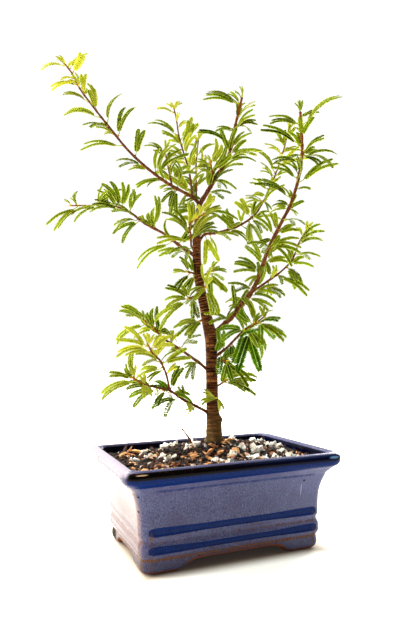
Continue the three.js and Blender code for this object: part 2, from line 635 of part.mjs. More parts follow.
// Both faces of a plate are split alike, and its rim joins them
function plate(points, faces, up) {
  const count = points.length;
  const lower = points.map((point) => point.clone().addScaledVector(up, -LEAF_THICKNESS));
  const edges = new Set(faces.flatMap(([a, b, c]) => [`${a},${b}`, `${b},${c}`, `${c},${a}`]));
  const all = faces.flatMap(([a, b, c]) => [[a, b, c], [c + count, b + count, a + count]]);
  for (const edge of edges) {
    const [a, b] = edge.split(',').map(Number);
    if (!edges.has(`${b},${a}`)) all.push([a, a + count, b + count], [a, b + count, b]);
  }
  return solid(surface([...points, ...lower], all));
}

// Put together
const group = new THREE.Group();
const plant = new THREE.Group();
plant.position.set(TRUNK_PLACE[0], TRUNK_PLACE[1], SOIL_CROWN);
plant.rotation.z = radians(VIEW_TURN);
group.add(makePot(), makeScreen('drain_screen_left', -1), makeScreen('drain_screen_right', 1));

const trunk = stemSolid(TRUNK, 10);
const deadStem = stemSolid(DEAD_STEM, 5);
const toPot = (shape) => shape.rotate([0, 0, VIEW_TURN]).translate([TRUNK_PLACE[0], TRUNK_PLACE[1], SOIL_CROWN]);
const soil = makeSoil()
  .subtract(toPot(stemSolid(TRUNK, 10, GAP)))
  .subtract(toPot(stemSolid(DEAD_STEM, 5, GAP)));
group.add(meshOf('soil', largest(soil), soilMix));
plant.add(meshOf('trunk', trunk, bark), meshOf('dead_stem', deadStem, bark));

const settled = settleLeaves();
for (const [name, stem] of Object.entries(STEMS)) {
  const leaves = settled.filter((item) => item.name === name).map((item) => leafSolid(item.leaf));
  let shape = wasm.Manifold.union([stemSolid(stemRows(stem), 5), ...leaves]);
  shape = shape.subtract(stem.from === 'trunk'
    ? stemSolid(TRUNK, 10, GAP) : stemSolid(stemRows(STEMS[stem.from]), 5, GAP));
  plant.add(meshOf(name, largest(shape), leafGreen));
}
group.add(plant);

// The part stands with the middle of its whole outline, tree included, over the origin
group.position.set(POT_PLACE[0], POT_PLACE[1], 0);

export default group;
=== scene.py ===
# %% [markdown]
# # A powder puff bonsai in a glazed pot
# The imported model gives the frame: where the pot, the soil, the trunk and every leafy stem
# are, in metres. This lesson dresses that frame. It keeps the sizes and places of the solids
# and gives each piece the detail of the real one: thousands of leaflets, ringed bark, a crumbly
# soil with perlite in it, and a pot whose glaze pools in its grooves and breaks on its edges.

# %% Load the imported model
import math
import random

import bmesh
import bpy
import numpy as np
from mathutils import Matrix, Vector, noise


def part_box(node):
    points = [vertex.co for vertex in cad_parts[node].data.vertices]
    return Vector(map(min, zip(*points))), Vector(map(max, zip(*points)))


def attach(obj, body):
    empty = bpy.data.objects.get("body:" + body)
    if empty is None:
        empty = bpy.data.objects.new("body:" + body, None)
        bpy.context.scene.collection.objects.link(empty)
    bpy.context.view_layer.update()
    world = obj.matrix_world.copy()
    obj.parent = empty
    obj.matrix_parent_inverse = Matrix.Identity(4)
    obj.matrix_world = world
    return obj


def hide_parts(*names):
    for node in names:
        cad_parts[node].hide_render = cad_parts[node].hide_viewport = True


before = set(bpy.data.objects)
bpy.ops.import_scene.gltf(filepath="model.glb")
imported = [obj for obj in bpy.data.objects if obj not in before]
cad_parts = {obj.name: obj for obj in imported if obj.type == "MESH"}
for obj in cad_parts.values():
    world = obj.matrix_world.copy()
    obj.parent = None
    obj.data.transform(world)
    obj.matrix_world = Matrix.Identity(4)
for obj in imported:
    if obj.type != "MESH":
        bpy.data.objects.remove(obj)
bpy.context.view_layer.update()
MM = 0.001
print("nodes in the frame:", len(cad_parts))

# %% [markdown]
# The pot's middle on the floor is where everything is measured from. The tree was surveyed as
# a viewer sees it: across, away and up from the foot of the trunk. One matrix turns those
# numbers into places in the frame.

# %% Places in the frame
POT_HALF = (76.0, 57.0)
TRUNK_PLACE, TRUNK_LEVEL = (12.6, 18.6), 66.5
CAMERA_YAW, CAMERA_PITCH, CAMERA_ROLL = -22.57, 4.15, -0.91

pot_low, pot_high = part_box("pot")
POT_MIDDLE = Vector(((pot_low.x + pot_high.x) / 2, (pot_low.y + pot_high.y) / 2, 0))
TRUNK_FOOT = POT_MIDDLE + Vector((*TRUNK_PLACE, TRUNK_LEVEL)) * MM
VIEW_TURN = Matrix.Rotation(math.radians(CAMERA_YAW), 4, "Z")
TREE = np.array(Matrix.Translation(TRUNK_FOOT) @ VIEW_TURN @ Matrix.Scale(MM, 4))
print("pot middle", POT_MIDDLE, "trunk foot", TRUNK_FOOT)


def in_frame(points):
    """Survey points of the tree, in millimetres, as places in the frame."""
    return np.asarray(points, float) @ TREE[:3, :3].T + TREE[:3, 3]


# %% [markdown]
# The camera comes first. Its place was worked out from the corners of the pot in the
# photograph: a short telephoto view from a little above the rim, turned towards the pot's left
# front corner and tipped up, so the trunk leans back a little.

# %% The camera
CAMERA_PLACE = (-156.6, -377.7, 133.5)
CAMERA_LENS = 32.42


def add_camera():
    yaw, pitch, roll = (math.radians(angle) for angle in (CAMERA_YAW, CAMERA_PITCH, CAMERA_ROLL))
    level = Vector((math.cos(yaw), math.sin(yaw), 0))
    ahead = Vector((-math.sin(yaw) * math.cos(pitch), math.cos(yaw) * math.cos(pitch), math.sin(pitch)))
    upward = level.cross(ahead)
    right = level * math.cos(roll) + upward * math.sin(roll)
    upward = upward * math.cos(roll) - level * math.sin(roll)
    bpy.ops.object.camera_add(location=POT_MIDDLE + Vector(CAMERA_PLACE) * MM)
    camera = bpy.context.object
    camera.rotation_euler = Matrix((right, upward, -ahead)).transposed().to_euler()
    camera.data.lens = CAMERA_LENS
    camera.data.clip_start = 0.01
    bpy.context.scene.camera = camera
    return camera


camera = add_camera()
bpy.context.scene.view_settings.view_transform = "Standard"
print("camera lens", camera.data.lens)

# %% [markdown]
# ## Hand tools
# Most pieces are made as by hand: start a primitive, go into edit mode, select what lies in a
# certain place, and extrude, inset or scale it. These helpers do the going in, the selecting
# and the coming out. Everything is deselected first, because an operator acts on all that is
# selected.

# %% Selecting and editing
def put_down():
    """Leave edit mode and let go of everything."""
    if bpy.context.object and bpy.context.object.mode != "OBJECT":
        bpy.ops.object.mode_set(mode="OBJECT")
    bpy.ops.object.select_all(action="DESELECT")


def pick_up(piece):
    put_down()
    piece.select_set(True)
    bpy.context.view_layer.objects.active = piece


def open_mesh(piece, what="FACE"):
    pick_up(piece)
    bpy.ops.object.mode_set(mode="EDIT")
    bpy.ops.mesh.select_mode(type=what)


def choose(piece, test, what="FACE"):
    """In edit mode, select the faces, edges or points that pass a test."""
    bpy.ops.mesh.select_mode(type=what)
    bpy.ops.mesh.select_all(action="DESELECT")
    form = bmesh.from_edit_mesh(piece.data)
    parts = {"FACE": form.faces, "EDGE": form.edges, "VERT": form.verts}[what]
    count = 0
    for part in parts:
        if test(part):
            part.select_set(True)
            count += 1
    form.select_flush_mode()
    bmesh.update_edit_mesh(piece.data)
    return count


def settle(piece, name):
    """Name a finished piece and put its place into its mesh."""
    pick_up(piece)
    bpy.ops.object.transform_apply(location=True, rotation=True, scale=True)
    piece.name = piece.data.name = name
    return piece


def use_modifier(piece, kind, **settings):
    pick_up(piece)
    modifier = piece.modifiers.new(kind.title(), kind)
    for key, value in settings.items():
        setattr(modifier, key, value)
    bpy.ops.object.modifier_apply(modifier=modifier.name)


def points_of(piece):
    """A mesh's points as an array, relative to the world."""
    points = np.empty(len(piece.data.vertices) * 3, np.float32)
    piece.data.vertices.foreach_get("co", points)
    return points.reshape(-1, 3).astype(float)


def move_points(piece, points):
    piece.data.vertices.foreach_set("co", np.asarray(points, np.float32).ravel())
    piece.data.update()


def note_on(piece, name, values):
    """Keep one number a point on the mesh, for its material to read."""
    if name not in piece.data.attributes:
        piece.data.attributes.new(name, "FLOAT", "POINT")
    piece.data.attributes[name].data.foreach_set("value", np.asarray(values, np.float32))


def mesh_piece(name, points, faces):
    """One object from arrays of points and faces, already in place."""
    mesh = bpy.data.meshes.new(name)
    mesh.from_pydata(np.asarray(points).tolist(), [], faces)
    piece = bpy.data.objects.new(name, mesh)
    bpy.context.scene.collection.objects.link(piece)
    return piece


def wear(piece, *materials):
    piece.data.materials.clear()
    for material in materials:
        piece.data.materials.append(material)


def smoothly(low, high, value):
    """0 below low, 1 above high, and a soft step between."""
    share = np.clip((value - low) / (high - low), 0, 1)
    return share * share * (3 - 2 * share)


# %% [markdown]
# ## Writing shader maths
# A material is a sum over the surface: a base colour, lighter here, darker there. One small
# class wraps a socket, so that such a sum is written as plain Python, and one method makes any
# other node. Colours go through Mix nodes, because a Math node would turn them grey.

# %% Shader sums
class Signal:
    """An output socket that takes part in Python sums."""

    def __init__(self, finish, socket):
        self.finish, self.socket = finish, socket

    def math(self, operation, *values, clamp=False):
        return self.finish.node("Math", {"operation": operation, "use_clamp": clamp},
                                dict(enumerate(values)))

    def __add__(self, other):
        return self.math("ADD", self, other)

    def __mul__(self, other):
        return self.math("MULTIPLY", self, other)

    def __sub__(self, other):
        return self.math("SUBTRACT", self, other)

    def __rsub__(self, other):
        return self.math("SUBTRACT", other, self)

    def kept(self):
        """The same value, held between 0 and 1."""
        return self.math("ADD", self, 0.0, clamp=True)

    def band(self, low, high):
        """0 below low and 1 above high, with a soft step between."""
        return self.finish.node("MapRange", {"interpolation_type": "SMOOTHSTEP"},
                                {"Value": self, "From Min": low, "From Max": high})

    __radd__ = __add__
    __rmul__ = __mul__


class Finish:
    """A material whose shader is fed by sums of signals."""

    def __init__(self, name, roughness=0.5, **constants):
        self.material = bpy.data.materials.new(name)
        self.material.use_nodes = True
        self.tree = self.material.node_tree
        self.shader = self.tree.nodes["Principled BSDF"]
        self.shader.inputs["Roughness"].default_value = roughness
        for name, value in constants.items():
            socket = name.replace("_", " ").title().replace("Ior", "IOR")
            self.shader.inputs[socket].default_value = value

    def join(self, socket, value):
        if isinstance(value, Signal):
            self.tree.links.new(value.socket, socket)
        elif socket.type == "RGBA" and len(value) == 3:
            socket.default_value = (*value, 1)
        else:
            socket.default_value = value

    def node(self, kind, settings=None, sockets=None, out=0):
        made = self.tree.nodes.new("ShaderNode" + kind)
        for key, value in (settings or {}).items():
            setattr(made, key, value)
        for key, value in (sockets or {}).items():
            self.join(made.inputs[key], value)
        return Signal(self, made.outputs[out])

    def vector(self, operation, *values, out=0):
        return self.node("VectorMath", {"operation": operation}, dict(enumerate(values)), out=out)

    def place(self, scale=(1, 1, 1)):
        """Object coordinates in millimetres, stretched by a scale."""
        coordinates = self.node("TexCoord", out="Object")
        return self.node("Mapping", {}, {"Vector": coordinates, "Scale": [1000 * part for part in scale]})

    def from_pot(self, place, offset=(0, 0, 0)):
        """Places in millimetres, counted from the pot's middle and an offset."""
        return self.vector("SUBTRACT", place, POT_MIDDLE * 1000 + Vector(offset))

    def noted(self, name):
        return self.node("Attribute", {"attribute_name": name}, out="Fac")

    def mottle(self, place, size, detail=3.0, rough=0.55):
        """Soft noise whose blots are about size across."""
        return self.node("TexNoise", {}, {"Vector": place, "Scale": 1 / size, "Detail": detail,
                                          "Roughness": rough}, out="Fac")

    def cells(self, place, size):
        return self.node("TexVoronoi", {}, {"Vector": place, "Scale": 1 / size}, out="Distance")

    def mix(self, share, first, second):
        """A colour between two colours."""
        return self.node("Mix", {"data_type": "RGBA"}, {"Factor": share, 6: first, 7: second}, out=2)

    def raise_by(self, height, distance, strength=1.0, over=None):
        sockets = {"Height": height, "Distance": distance, "Strength": strength}
        if over:
            sockets["Normal"] = over
        return self.node("Bump", {}, sockets)

    def feed(self, **sockets):
        for name, value in sockets.items():
            self.join(self.shader.inputs[name.replace("_", " ").title()], value)
        return self.material


def colour(red, green, blue):
    """A colour as a picture shows it, from 0 to 255, made linear for the shader."""
    return tuple(round((part / 255) ** 2.2, 5) for part in (red, green, blue))


# %% [markdown]
# ## The stage
# The photograph has a pure white ground, a blown-out left side and a front in soft shade. A
# wide pale floor that glows a little, a sky that is brighter behind the pot, a soft sun from
# the left and three softboxes do the same here. Under the pot a brown shadow is painted on
# the floor, which doesn't glow there, so that the shadow between the feet stays dark and warm.

# %% Floor, sky and lights
# Where the painted shadow under the pot fades out, in shares of the pot's half length and width
SHADE_EDGE = (0.7, 1.0)
SUN_PLACE, SUN_STRENGTH, SUN_SOFTNESS = (-1.0, 0.45, 1.0), 2.9, 25
SKY_BACK = (-0.1, 0.92, 0.38)
SKY_LIGHT = {"From Min": -0.5, "From Max": 0.7, "To Min": 0.18, "To Max": 0.85}
SKY_SEEN = 1.05
# Name, place and aim in metres from the pot's middle, size, watts and tint
SOFTBOXES = [
    ("softbox above the floor behind", (-0.3, 0.8, 1.0), (-0.1, 0.35, 0), 0.8, 28, (1, 0.99, 0.96)),
    ("softbox at the left", (-1.0, 0.15, 0.35), (0, 0, 0.08), 0.6, 4, (1, 0.9, 0.82)),
    ("softbox behind right", (0.95, 0.7, 0.5), (0, 0, 0.15), 0.6, 20, (1, 0.97, 0.9)),
]


def add_stage():
    put_down()
    bpy.ops.mesh.primitive_plane_add(size=12)
    floor = bpy.context.object
    floor.name = "floor"
    pale = Finish("pale floor", roughness=0.9, emission_strength=0.75)
    painted_shadow_spot = pale.vector("MULTIPLY", pale.from_pot(pale.place()), (1 / POT_HALF[0], 1 / POT_HALF[1], 0))
    painted_shadow_spot = pale.vector("ABSOLUTE", painted_shadow_spot)
    across, back = (pale.node("SeparateXYZ", {}, {0: painted_shadow_spot}, out=out) for out in (0, 1))
    away = across.math("MAXIMUM", across, back).band(*SHADE_EDGE)
    # Painted shadow: inside the pot's outline the floor is painted warm brown and barely glows
    glow = pale.mix(away, (0.02, 0.02, 0.02), (0.97, 0.97, 0.86))
    base = pale.mix(away, colour(176, 150, 120), (0.95, 0.95, 0.88))
    wear(floor, pale.feed(base_color=base, emission_color=glow))


def add_sky():
    """White to look at, and for its light bright behind the pot and dim in front of it."""
    sky = bpy.data.worlds.new("studio sky")
    sky.use_nodes = True
    nodes, links = sky.node_tree.nodes, sky.node_tree.links
    glow = nodes["Background"]
    glow.inputs["Color"].default_value = (1, 1, 1, 1)
    facing, behind, dim, seen, choice = (nodes.new("ShaderNode" + kind) for kind in (
        "TexCoord", "VectorMath", "MapRange", "LightPath", "Mix"))
    behind.operation = "DOT_PRODUCT"
    behind.inputs[1].default_value = SKY_BACK
    for socket, value in SKY_LIGHT.items():
        dim.inputs[socket].default_value = value
    choice.inputs["B"].default_value = SKY_SEEN
    links.new(facing.outputs["Generated"], behind.inputs[0])
    links.new(behind.outputs["Value"], dim.inputs["Value"])
    links.new(seen.outputs["Is Camera Ray"], choice.inputs["Factor"])
    links.new(dim.outputs["Result"], choice.inputs["A"])
    links.new(choice.outputs["Result"], glow.inputs["Strength"])
    bpy.context.scene.world = sky


def add_softbox(name, place, target, size, watts, tint):
    bpy.ops.object.light_add(type="AREA", location=POT_MIDDLE + Vector(place))
    lamp = bpy.context.object
    lamp.name, lamp.data.size, lamp.data.energy, lamp.data.color = name, size, watts, tint
    aim = POT_MIDDLE + Vector(target) - lamp.location
    lamp.rotation_euler = aim.to_track_quat("-Z", "Y").to_euler()


def add_sun():
    bpy.ops.object.light_add(type="SUN", location=SUN_PLACE)
    sun = bpy.context.object
    sun.name, sun.data.energy, sun.data.color = "sun from the left", SUN_STRENGTH, (1, 0.96, 0.88)
    sun.data.angle = math.radians(SUN_SOFTNESS)
    sun.rotation_euler = (-Vector(SUN_PLACE)).to_track_quat("-Z", "Y").to_euler()


add_stage()
add_sky()
add_sun()
for softbox in SOFTBOXES:
    add_softbox(*softbox)

# %% [markdown]
# ## The pot
# The real pot is a moulded, glazed box: four corner feet with low arches between them, two
# grooves round the wall, a hollow neck and a heavy flat rim. It could be built from slabs, but
# one plane with bevelled corners, extruded and scaled from level to level along the wall's
# profile, gives one clean skin, from the hollow underneath, round the foot, up the wall, over
# the rim and down inside.

# %% Extrude the pot along its profile
# Level and inset from the widest outline, in millimetres
UNDERSIDE = [(7.2, 20.4), (6.8, 20), (5.5, 19.8), (2, 19.7), (0.5, 19.5), (0.1, 19.1), (0, 18.4)]
FOOT = [(0, 17), (0.25, 16.1), (1.2, 14.5), (2.6, 13.7), (4.6, 13.2), (7, 13.4), (9, 13.7)]
MOULDING = [(10.2, 13.1), (11.3, 12.4), (12.6, 12.1), (13.3, 12.1), (16.6, 12.1), (17.1, 12.1),
            (18.2, 12.6), (19.6, 13.1), (20.9, 13.2), (22, 12.8), (23, 12.2), (23.9, 12.1),
            (27.7, 12.1), (28.3, 12.1)]
WALL = [(30, 12), (33, 11.9), (37, 11.6), (42, 10.7), (46.5, 9.1), (50.2, 7.6), (51.1, 7.3),
        (51.9, 6.5), (53.8, 4.8), (55.2, 3.4), (56.2, 2), (57.2, 0.9), (58.7, 0.2)]
RIM = [(60.5, 0), (62.4, 0.2), (63.8, 0.9), (64.7, 1.9), (65, 3.1), (65, 5.2), (64.7, 6.2),
       (63.8, 7), (62, 7.5), (57, 8.2), (50, 12.2), (42, 15.8), (34, 17.6), (12.4, 19.4),
       (11.6, 20.4)]
CORNER_BEVEL, CORNER_STEPS = 6, 5
# How many cuts an edge gets, and between which lengths in metres it lies
EDGE_CUTS = [(21, 0.08, 1), (14, 0.05, 0.08)]


def grow_ring(level, inset, before):
    """Extrude the open face to a new level, scaled to a new inset from the widest outline."""
    sizes = [(half - inset) / (half - before[1]) for half in POT_HALF]
    rise = (0, 0, (level - before[0]) * MM)
    bpy.ops.mesh.extrude_region_move(TRANSFORM_OT_translate={"value": rise})
    bpy.ops.transform.resize(value=(*sizes, 1), center_override=POT_MIDDLE + Vector((0, 0, level * MM)))


def extrude_pot():
    put_down()
    level, inset = UNDERSIDE[0]
    bpy.ops.mesh.primitive_plane_add(size=1, location=POT_MIDDLE + Vector((0, 0, level * MM)))
    pot = bpy.context.object
    pot.scale = [2 * (half - inset) * MM for half in POT_HALF] + [1]
    settle(pot, "glazed_pot")
    open_mesh(pot, "VERT")
    bpy.ops.mesh.select_all(action="SELECT")
    bpy.ops.mesh.bevel(offset=CORNER_BEVEL * MM, affect="VERTICES", segments=CORNER_STEPS)
    for cuts, shortest, longest in EDGE_CUTS:
        choose(pot, lambda edge: shortest < edge.calc_length() < longest, "EDGE")
        bpy.ops.mesh.subdivide(number_cuts=cuts)
    bpy.ops.mesh.select_mode(type="FACE")
    bpy.ops.mesh.select_all(action="SELECT")
    before = UNDERSIDE[0]
    for step in UNDERSIDE[1:] + FOOT + MOULDING + WALL + RIM:
        grow_ring(*step, before)
        before = step
    put_down()
    return pot


pot = extrude_pot()
print("pot rings make", len(pot.data.polygons), "faces")

# %% [markdown]
# Between the feet the wall's lower edge lifts into a low arch. The lowest levels are squeezed
# upwards there, which keeps the wall's edge round and thick, where a cut would leave it sharp.
# The flat ceiling of the hollow underneath stays where it is. The two grooves stop just short
# of the corners. Each is one inset of the wall's faces with a small negative depth.

# %% Arches and grooves
ARCH_STARTS, ARCH_HEIGHT, ARCH_RUN, ARCH_ROUNDNESS = (37.0, 22.0), 6.2, 12, 0.8
SQUEEZED_BELOW = 9
CEILING_LEVEL, CEILING_HALF = 7.1, 57
GROOVE_LEVELS = [(13.5, 16.4), (24.1, 27.5)]
GROOVE_REACH = (56, 38)
WALL_STARTS = (60, 42)


def arch_at(x, y):
    """How high the wall's lower edge lies above the floor, in millimetres."""
    long_side = abs(y) / POT_HALF[1] > abs(x) / POT_HALF[0]
    inside = (ARCH_STARTS[0] - abs(x)) if long_side else (ARCH_STARTS[1] - abs(y))
    rise = min(max(inside / ARCH_RUN, 0), 1)
    return ARCH_HEIGHT * (1 - (1 - rise) ** 2) ** ARCH_ROUNDNESS


def lift_arches(pot):
    points = (points_of(pot) - np.array(POT_MIDDLE)) / MM
    for point in points:
        ceiling = point[2] > CEILING_LEVEL and abs(point[0]) < CEILING_HALF
        if point[2] < SQUEEZED_BELOW - 0.1 and not ceiling:
            arch = arch_at(point[0], point[1])
            point[2] = arch + point[2] * (SQUEEZED_BELOW - arch) / SQUEEZED_BELOW
    points[:, 2] = np.maximum(points[:, 2], 0)
    move_points(pot, points * MM + np.array(POT_MIDDLE))


def in_groove(face):
    middle = (face.calc_center_median() - POT_MIDDLE) / MM
    long_side = abs(face.normal.y) > 0.99 and abs(middle.x) < GROOVE_REACH[0]
    short_side = abs(face.normal.x) > 0.99 and abs(middle.y) < GROOVE_REACH[1]
    outside = abs(middle.x) > WALL_STARTS[0] or abs(middle.y) > WALL_STARTS[1]
    level = any(low < middle.z < high for low, high in GROOVE_LEVELS)
    return level and outside and (long_side or short_side)


def cut_grooves(pot):
    open_mesh(pot)
    bpy.ops.mesh.select_all(action="SELECT")
    bpy.ops.mesh.normals_make_consistent(inside=False)
    count = choose(pot, in_groove)
    bpy.ops.mesh.inset(thickness=0.4 * MM, depth=-0.3 * MM)
    put_down()
    return count


lift_arches(pot)
print("groove faces:", cut_grooves(pot))

# %% [markdown]
# Two drain holes go through the floor, where a boolean is the plain tool. The subdivision comes
# before it, so that it rounds the wall and not the holes. Then a slow, faint swelling is added,
# because a hand-finished wall is never quite flat.

# %% Subdivide, drill and loosen the wall
DRAIN_HOLES, DRAIN_RADIUS, FLOOR_LEVEL = (-30, 30), 7, 9.4
# How tight the swelling's waves are, and how far they stand out in millimetres
WAVES = [(28, 0.35), (90, 0.08)]


def swell_wall(pot):
    points = points_of(pot)
    away = points - np.array(POT_MIDDLE)
    swell = np.array([sum(noise.noise(Vector(place) * tight) * height for tight, height in WAVES)
                      for place in away])
    outward = away * (1, 1, 0)
    outward /= np.maximum(np.linalg.norm(outward, axis=1), 1e-6)[:, None]
    off_floor = smoothly(0.001, 0.006, points[:, 2])
    move_points(pot, points + outward * (swell * off_floor * MM)[:, None])


def drill_floor(pot):
    for side in DRAIN_HOLES:
        put_down()
        bpy.ops.mesh.primitive_cylinder_add(
            vertices=40, radius=DRAIN_RADIUS * MM, depth=12 * MM,
            location=POT_MIDDLE + Vector((side, 0, FLOOR_LEVEL)) * MM)
        drill = bpy.context.object
        use_modifier(pot, "BOOLEAN", operation="DIFFERENCE", object=drill, solver="EXACT")
        bpy.data.objects.remove(drill)


use_modifier(pot, "SUBSURF", levels=2, render_levels=2)
swell_wall(pot)
drill_floor(pot)
pick_up(pot)
bpy.ops.object.shade_smooth_by_angle(angle=math.radians(40))
put_down()
print("pot faces after subdivision:", len(pot.data.polygons))

# %% [markdown]
# ## The glaze
# The glaze is a blue that breaks: thick in a groove it is deep blue, thin on an edge it lets
# the brown clay through, and over the wall it is a mauve grey-blue with fine streaks where it
# ran. How thick it lies follows the pot's own form, so that is noted on the mesh, point by
# point, and the material adds the fine ragged edge.

# %% Note where the glaze pools and where it breaks
CORNER_STARTS = (57.5, 39.0)
# Level, half width and soft edge of a band round the wall, and how bare a low edge is
UPPER_GROOVE, LOWER_GROOVE, GROOVE_SOFT = (25.9, 1.8), (15, 1.5), 0.7
LEDGE = (51.2, 0.5, 2.0)
LOW_EDGES = [(9.4, 0.7, 1.2, 0.85), (12.3, 0.2, 0.7, 0.4), (22.6, 0.2, 0.9, 0.35), (28.6, 0.1, 0.6, 0.3)]
MIDDLE_EDGE = (19.6, 0.3, 1.4)


def note_glaze(pot):
    points = (points_of(pot) - np.array(POT_MIDDLE)) / MM
    x, y, z = points.T
    long_side = np.abs(y) / POT_HALF[1] > np.abs(x) / POT_HALF[0]
    along = np.where(long_side, np.abs(x) - CORNER_STARTS[0], np.abs(y) - CORNER_STARTS[1])
    inset = np.minimum(POT_HALF[0] - np.abs(x), POT_HALF[1] - np.abs(y))
    outside = inset < np.where(z < 48, 18.8 - 2.6 * smoothly(8, 30, z), 10 - 4.2 * smoothly(50, 62, z))
    inside = ~outside & (z > 8)
    above_arch = z - np.array([arch_at(*point[:2]) for point in points])

    def stripe(level, half, soft):
        return smoothly(half + soft, half - soft * 0.3, np.abs(z - level))

    # Pools: two grooves with round ends, the hollow neck and a faint ledge; the inside is made dark all
    # over
    rounded = np.sqrt(np.clip((2.6 - along) / 4.0, 0, 1))
    fuller = 0.7 * smoothly(-40, -4, along)
    grooves = np.maximum.reduce([stripe(level, (half + fuller) * rounded, GROOVE_SOFT)
                                 for level, half in (UPPER_GROOVE, LOWER_GROOVE)])
    grooves = grooves * smoothly(2.6, 0.4, along) * np.where(long_side, 1, 0.4)
    slope = 0.012 * np.where(long_side, x, y)
    neck = smoothly(54.6 + slope, 56.2 + slope, z) * smoothly(63.5, 62, z)
    ledge = stripe(*LEDGE) * 0.5 * smoothly(8, 2, along + 6)
    pool = np.where(outside, np.maximum.reduce([grooves, neck, ledge]), 0)
    pool = np.where(inside, smoothly(64.6, 62.5, z) * 0.95, pool)
    lip = smoothly(58.7, 61.2, z) * smoothly(64.6, 63.9, z) * smoothly(4, 2.6, inset)

    # Breaks: edges of the mouldings, the rim's edges, the corners and the edge of the feet
    inner_rim = smoothly(1.0, 0.2, np.abs(inset - 5.9)) * smoothly(63.5, 64.3, z) * smoothly(-66, -60, x)
    outer_rim = smoothly(1.6, 0.3, inset) * smoothly(60, 62, z) * smoothly(-60, -70, x)
    middle_edge = stripe(*MIDDLE_EDGE) * (0.42 + 0.2 * smoothly(-20, 30, x))
    edges = [stripe(*edge) * share for *edge, share in LOW_EDGES]
    beside = np.exp(-(((along + 0.6) / 2.0) ** 2))
    corner = beside * smoothly(56, 50, z) * (0.16 + 0.36 * smoothly(36, 20, z))
    foot_edge = smoothly(2.6, 0.4, above_arch) * smoothly(10, 6, z)
    broken = np.maximum.reduce([*edges, middle_edge, inner_rim * 0.75, outer_rim * 0.34, corner, foot_edge])
    bare = np.where(outside, smoothly(2.9, 1.6, above_arch), smoothly(12, 9, z)) * smoothly(10, 6, z)
    bare = np.where(~outside & (z < 9), 1, bare)

    past_corner = (-x - 64) - (np.abs(y) - 45)
    notes = {"pool": pool, "lip": np.where(outside, lip, 0), "inner": np.where(inside, 1, 0),
             "broken": np.where(outside, broken, 0), "bare": bare,
             # low: painted shade, the outside wall darker towards the bottom
             "low": np.where(outside, smoothly(15, 6, z), 0),
             # left: the short left side, where painted light makes the wall paler and pinker, weakens its
             # pools and lip, and gives the rim a painted sheen
             "left": np.where(outside, smoothly(0, 5, past_corner), 0),
             "back_foot": smoothly(-50, -56, x) * smoothly(22, 28, y) * smoothly(10, 8, z),
             "across": x, "level": z}
    for name, values in notes.items():
        note_on(pot, name, values)
    print("glaze: deepest", round(float(pool.max()), 2), "bare points", int((bare > 0.5).sum()))


note_glaze(pot)

# %% [markdown]
# The material is built up as the glaze is: the wall's two blues, with painted light that makes
# them lighter towards the right and paler and pinker at the left, then the pools, weaker on the
# left as if washed out by light, the dark lip with its streaks, painted shade on the foot and a
# painted lavender sheen on the left rim, and over them rust where the glaze breaks and bare clay
# under the feet. Last come five small marks that the photograph shows: two pinholes, two painted
# glints on the lip and a pale line where a drip ran.

# %% The glaze material
# Place from the pot's middle in millimetres, stretch, size, strength and colour
MARKS_AND_PAINTED_GLINTS = [
    ((47.9, -48, 47.5), (1, 0.1, 1), 0.9, 1, (16, 14, 30)),
    ((-64.6, -41, 38.6), (0.1, 1, 1), 1.1, 1, (30, 20, 24)),
    # Painted glints: a warm one at the lip's left corner and a pale blue one at its right end
    ((-66, -56, 63.1), (0.16, 0.2, 1.4), 0.7, 0.6, (240, 200, 160)),
    ((67, -56, 62.4), (0.2, 0.2, 1), 1.0, 0.6, (110, 150, 194)),
    ((46.5, -47, 41.4), (1, 0.05, 0.09), 0.5, 0.6, (150, 152, 176)),
]


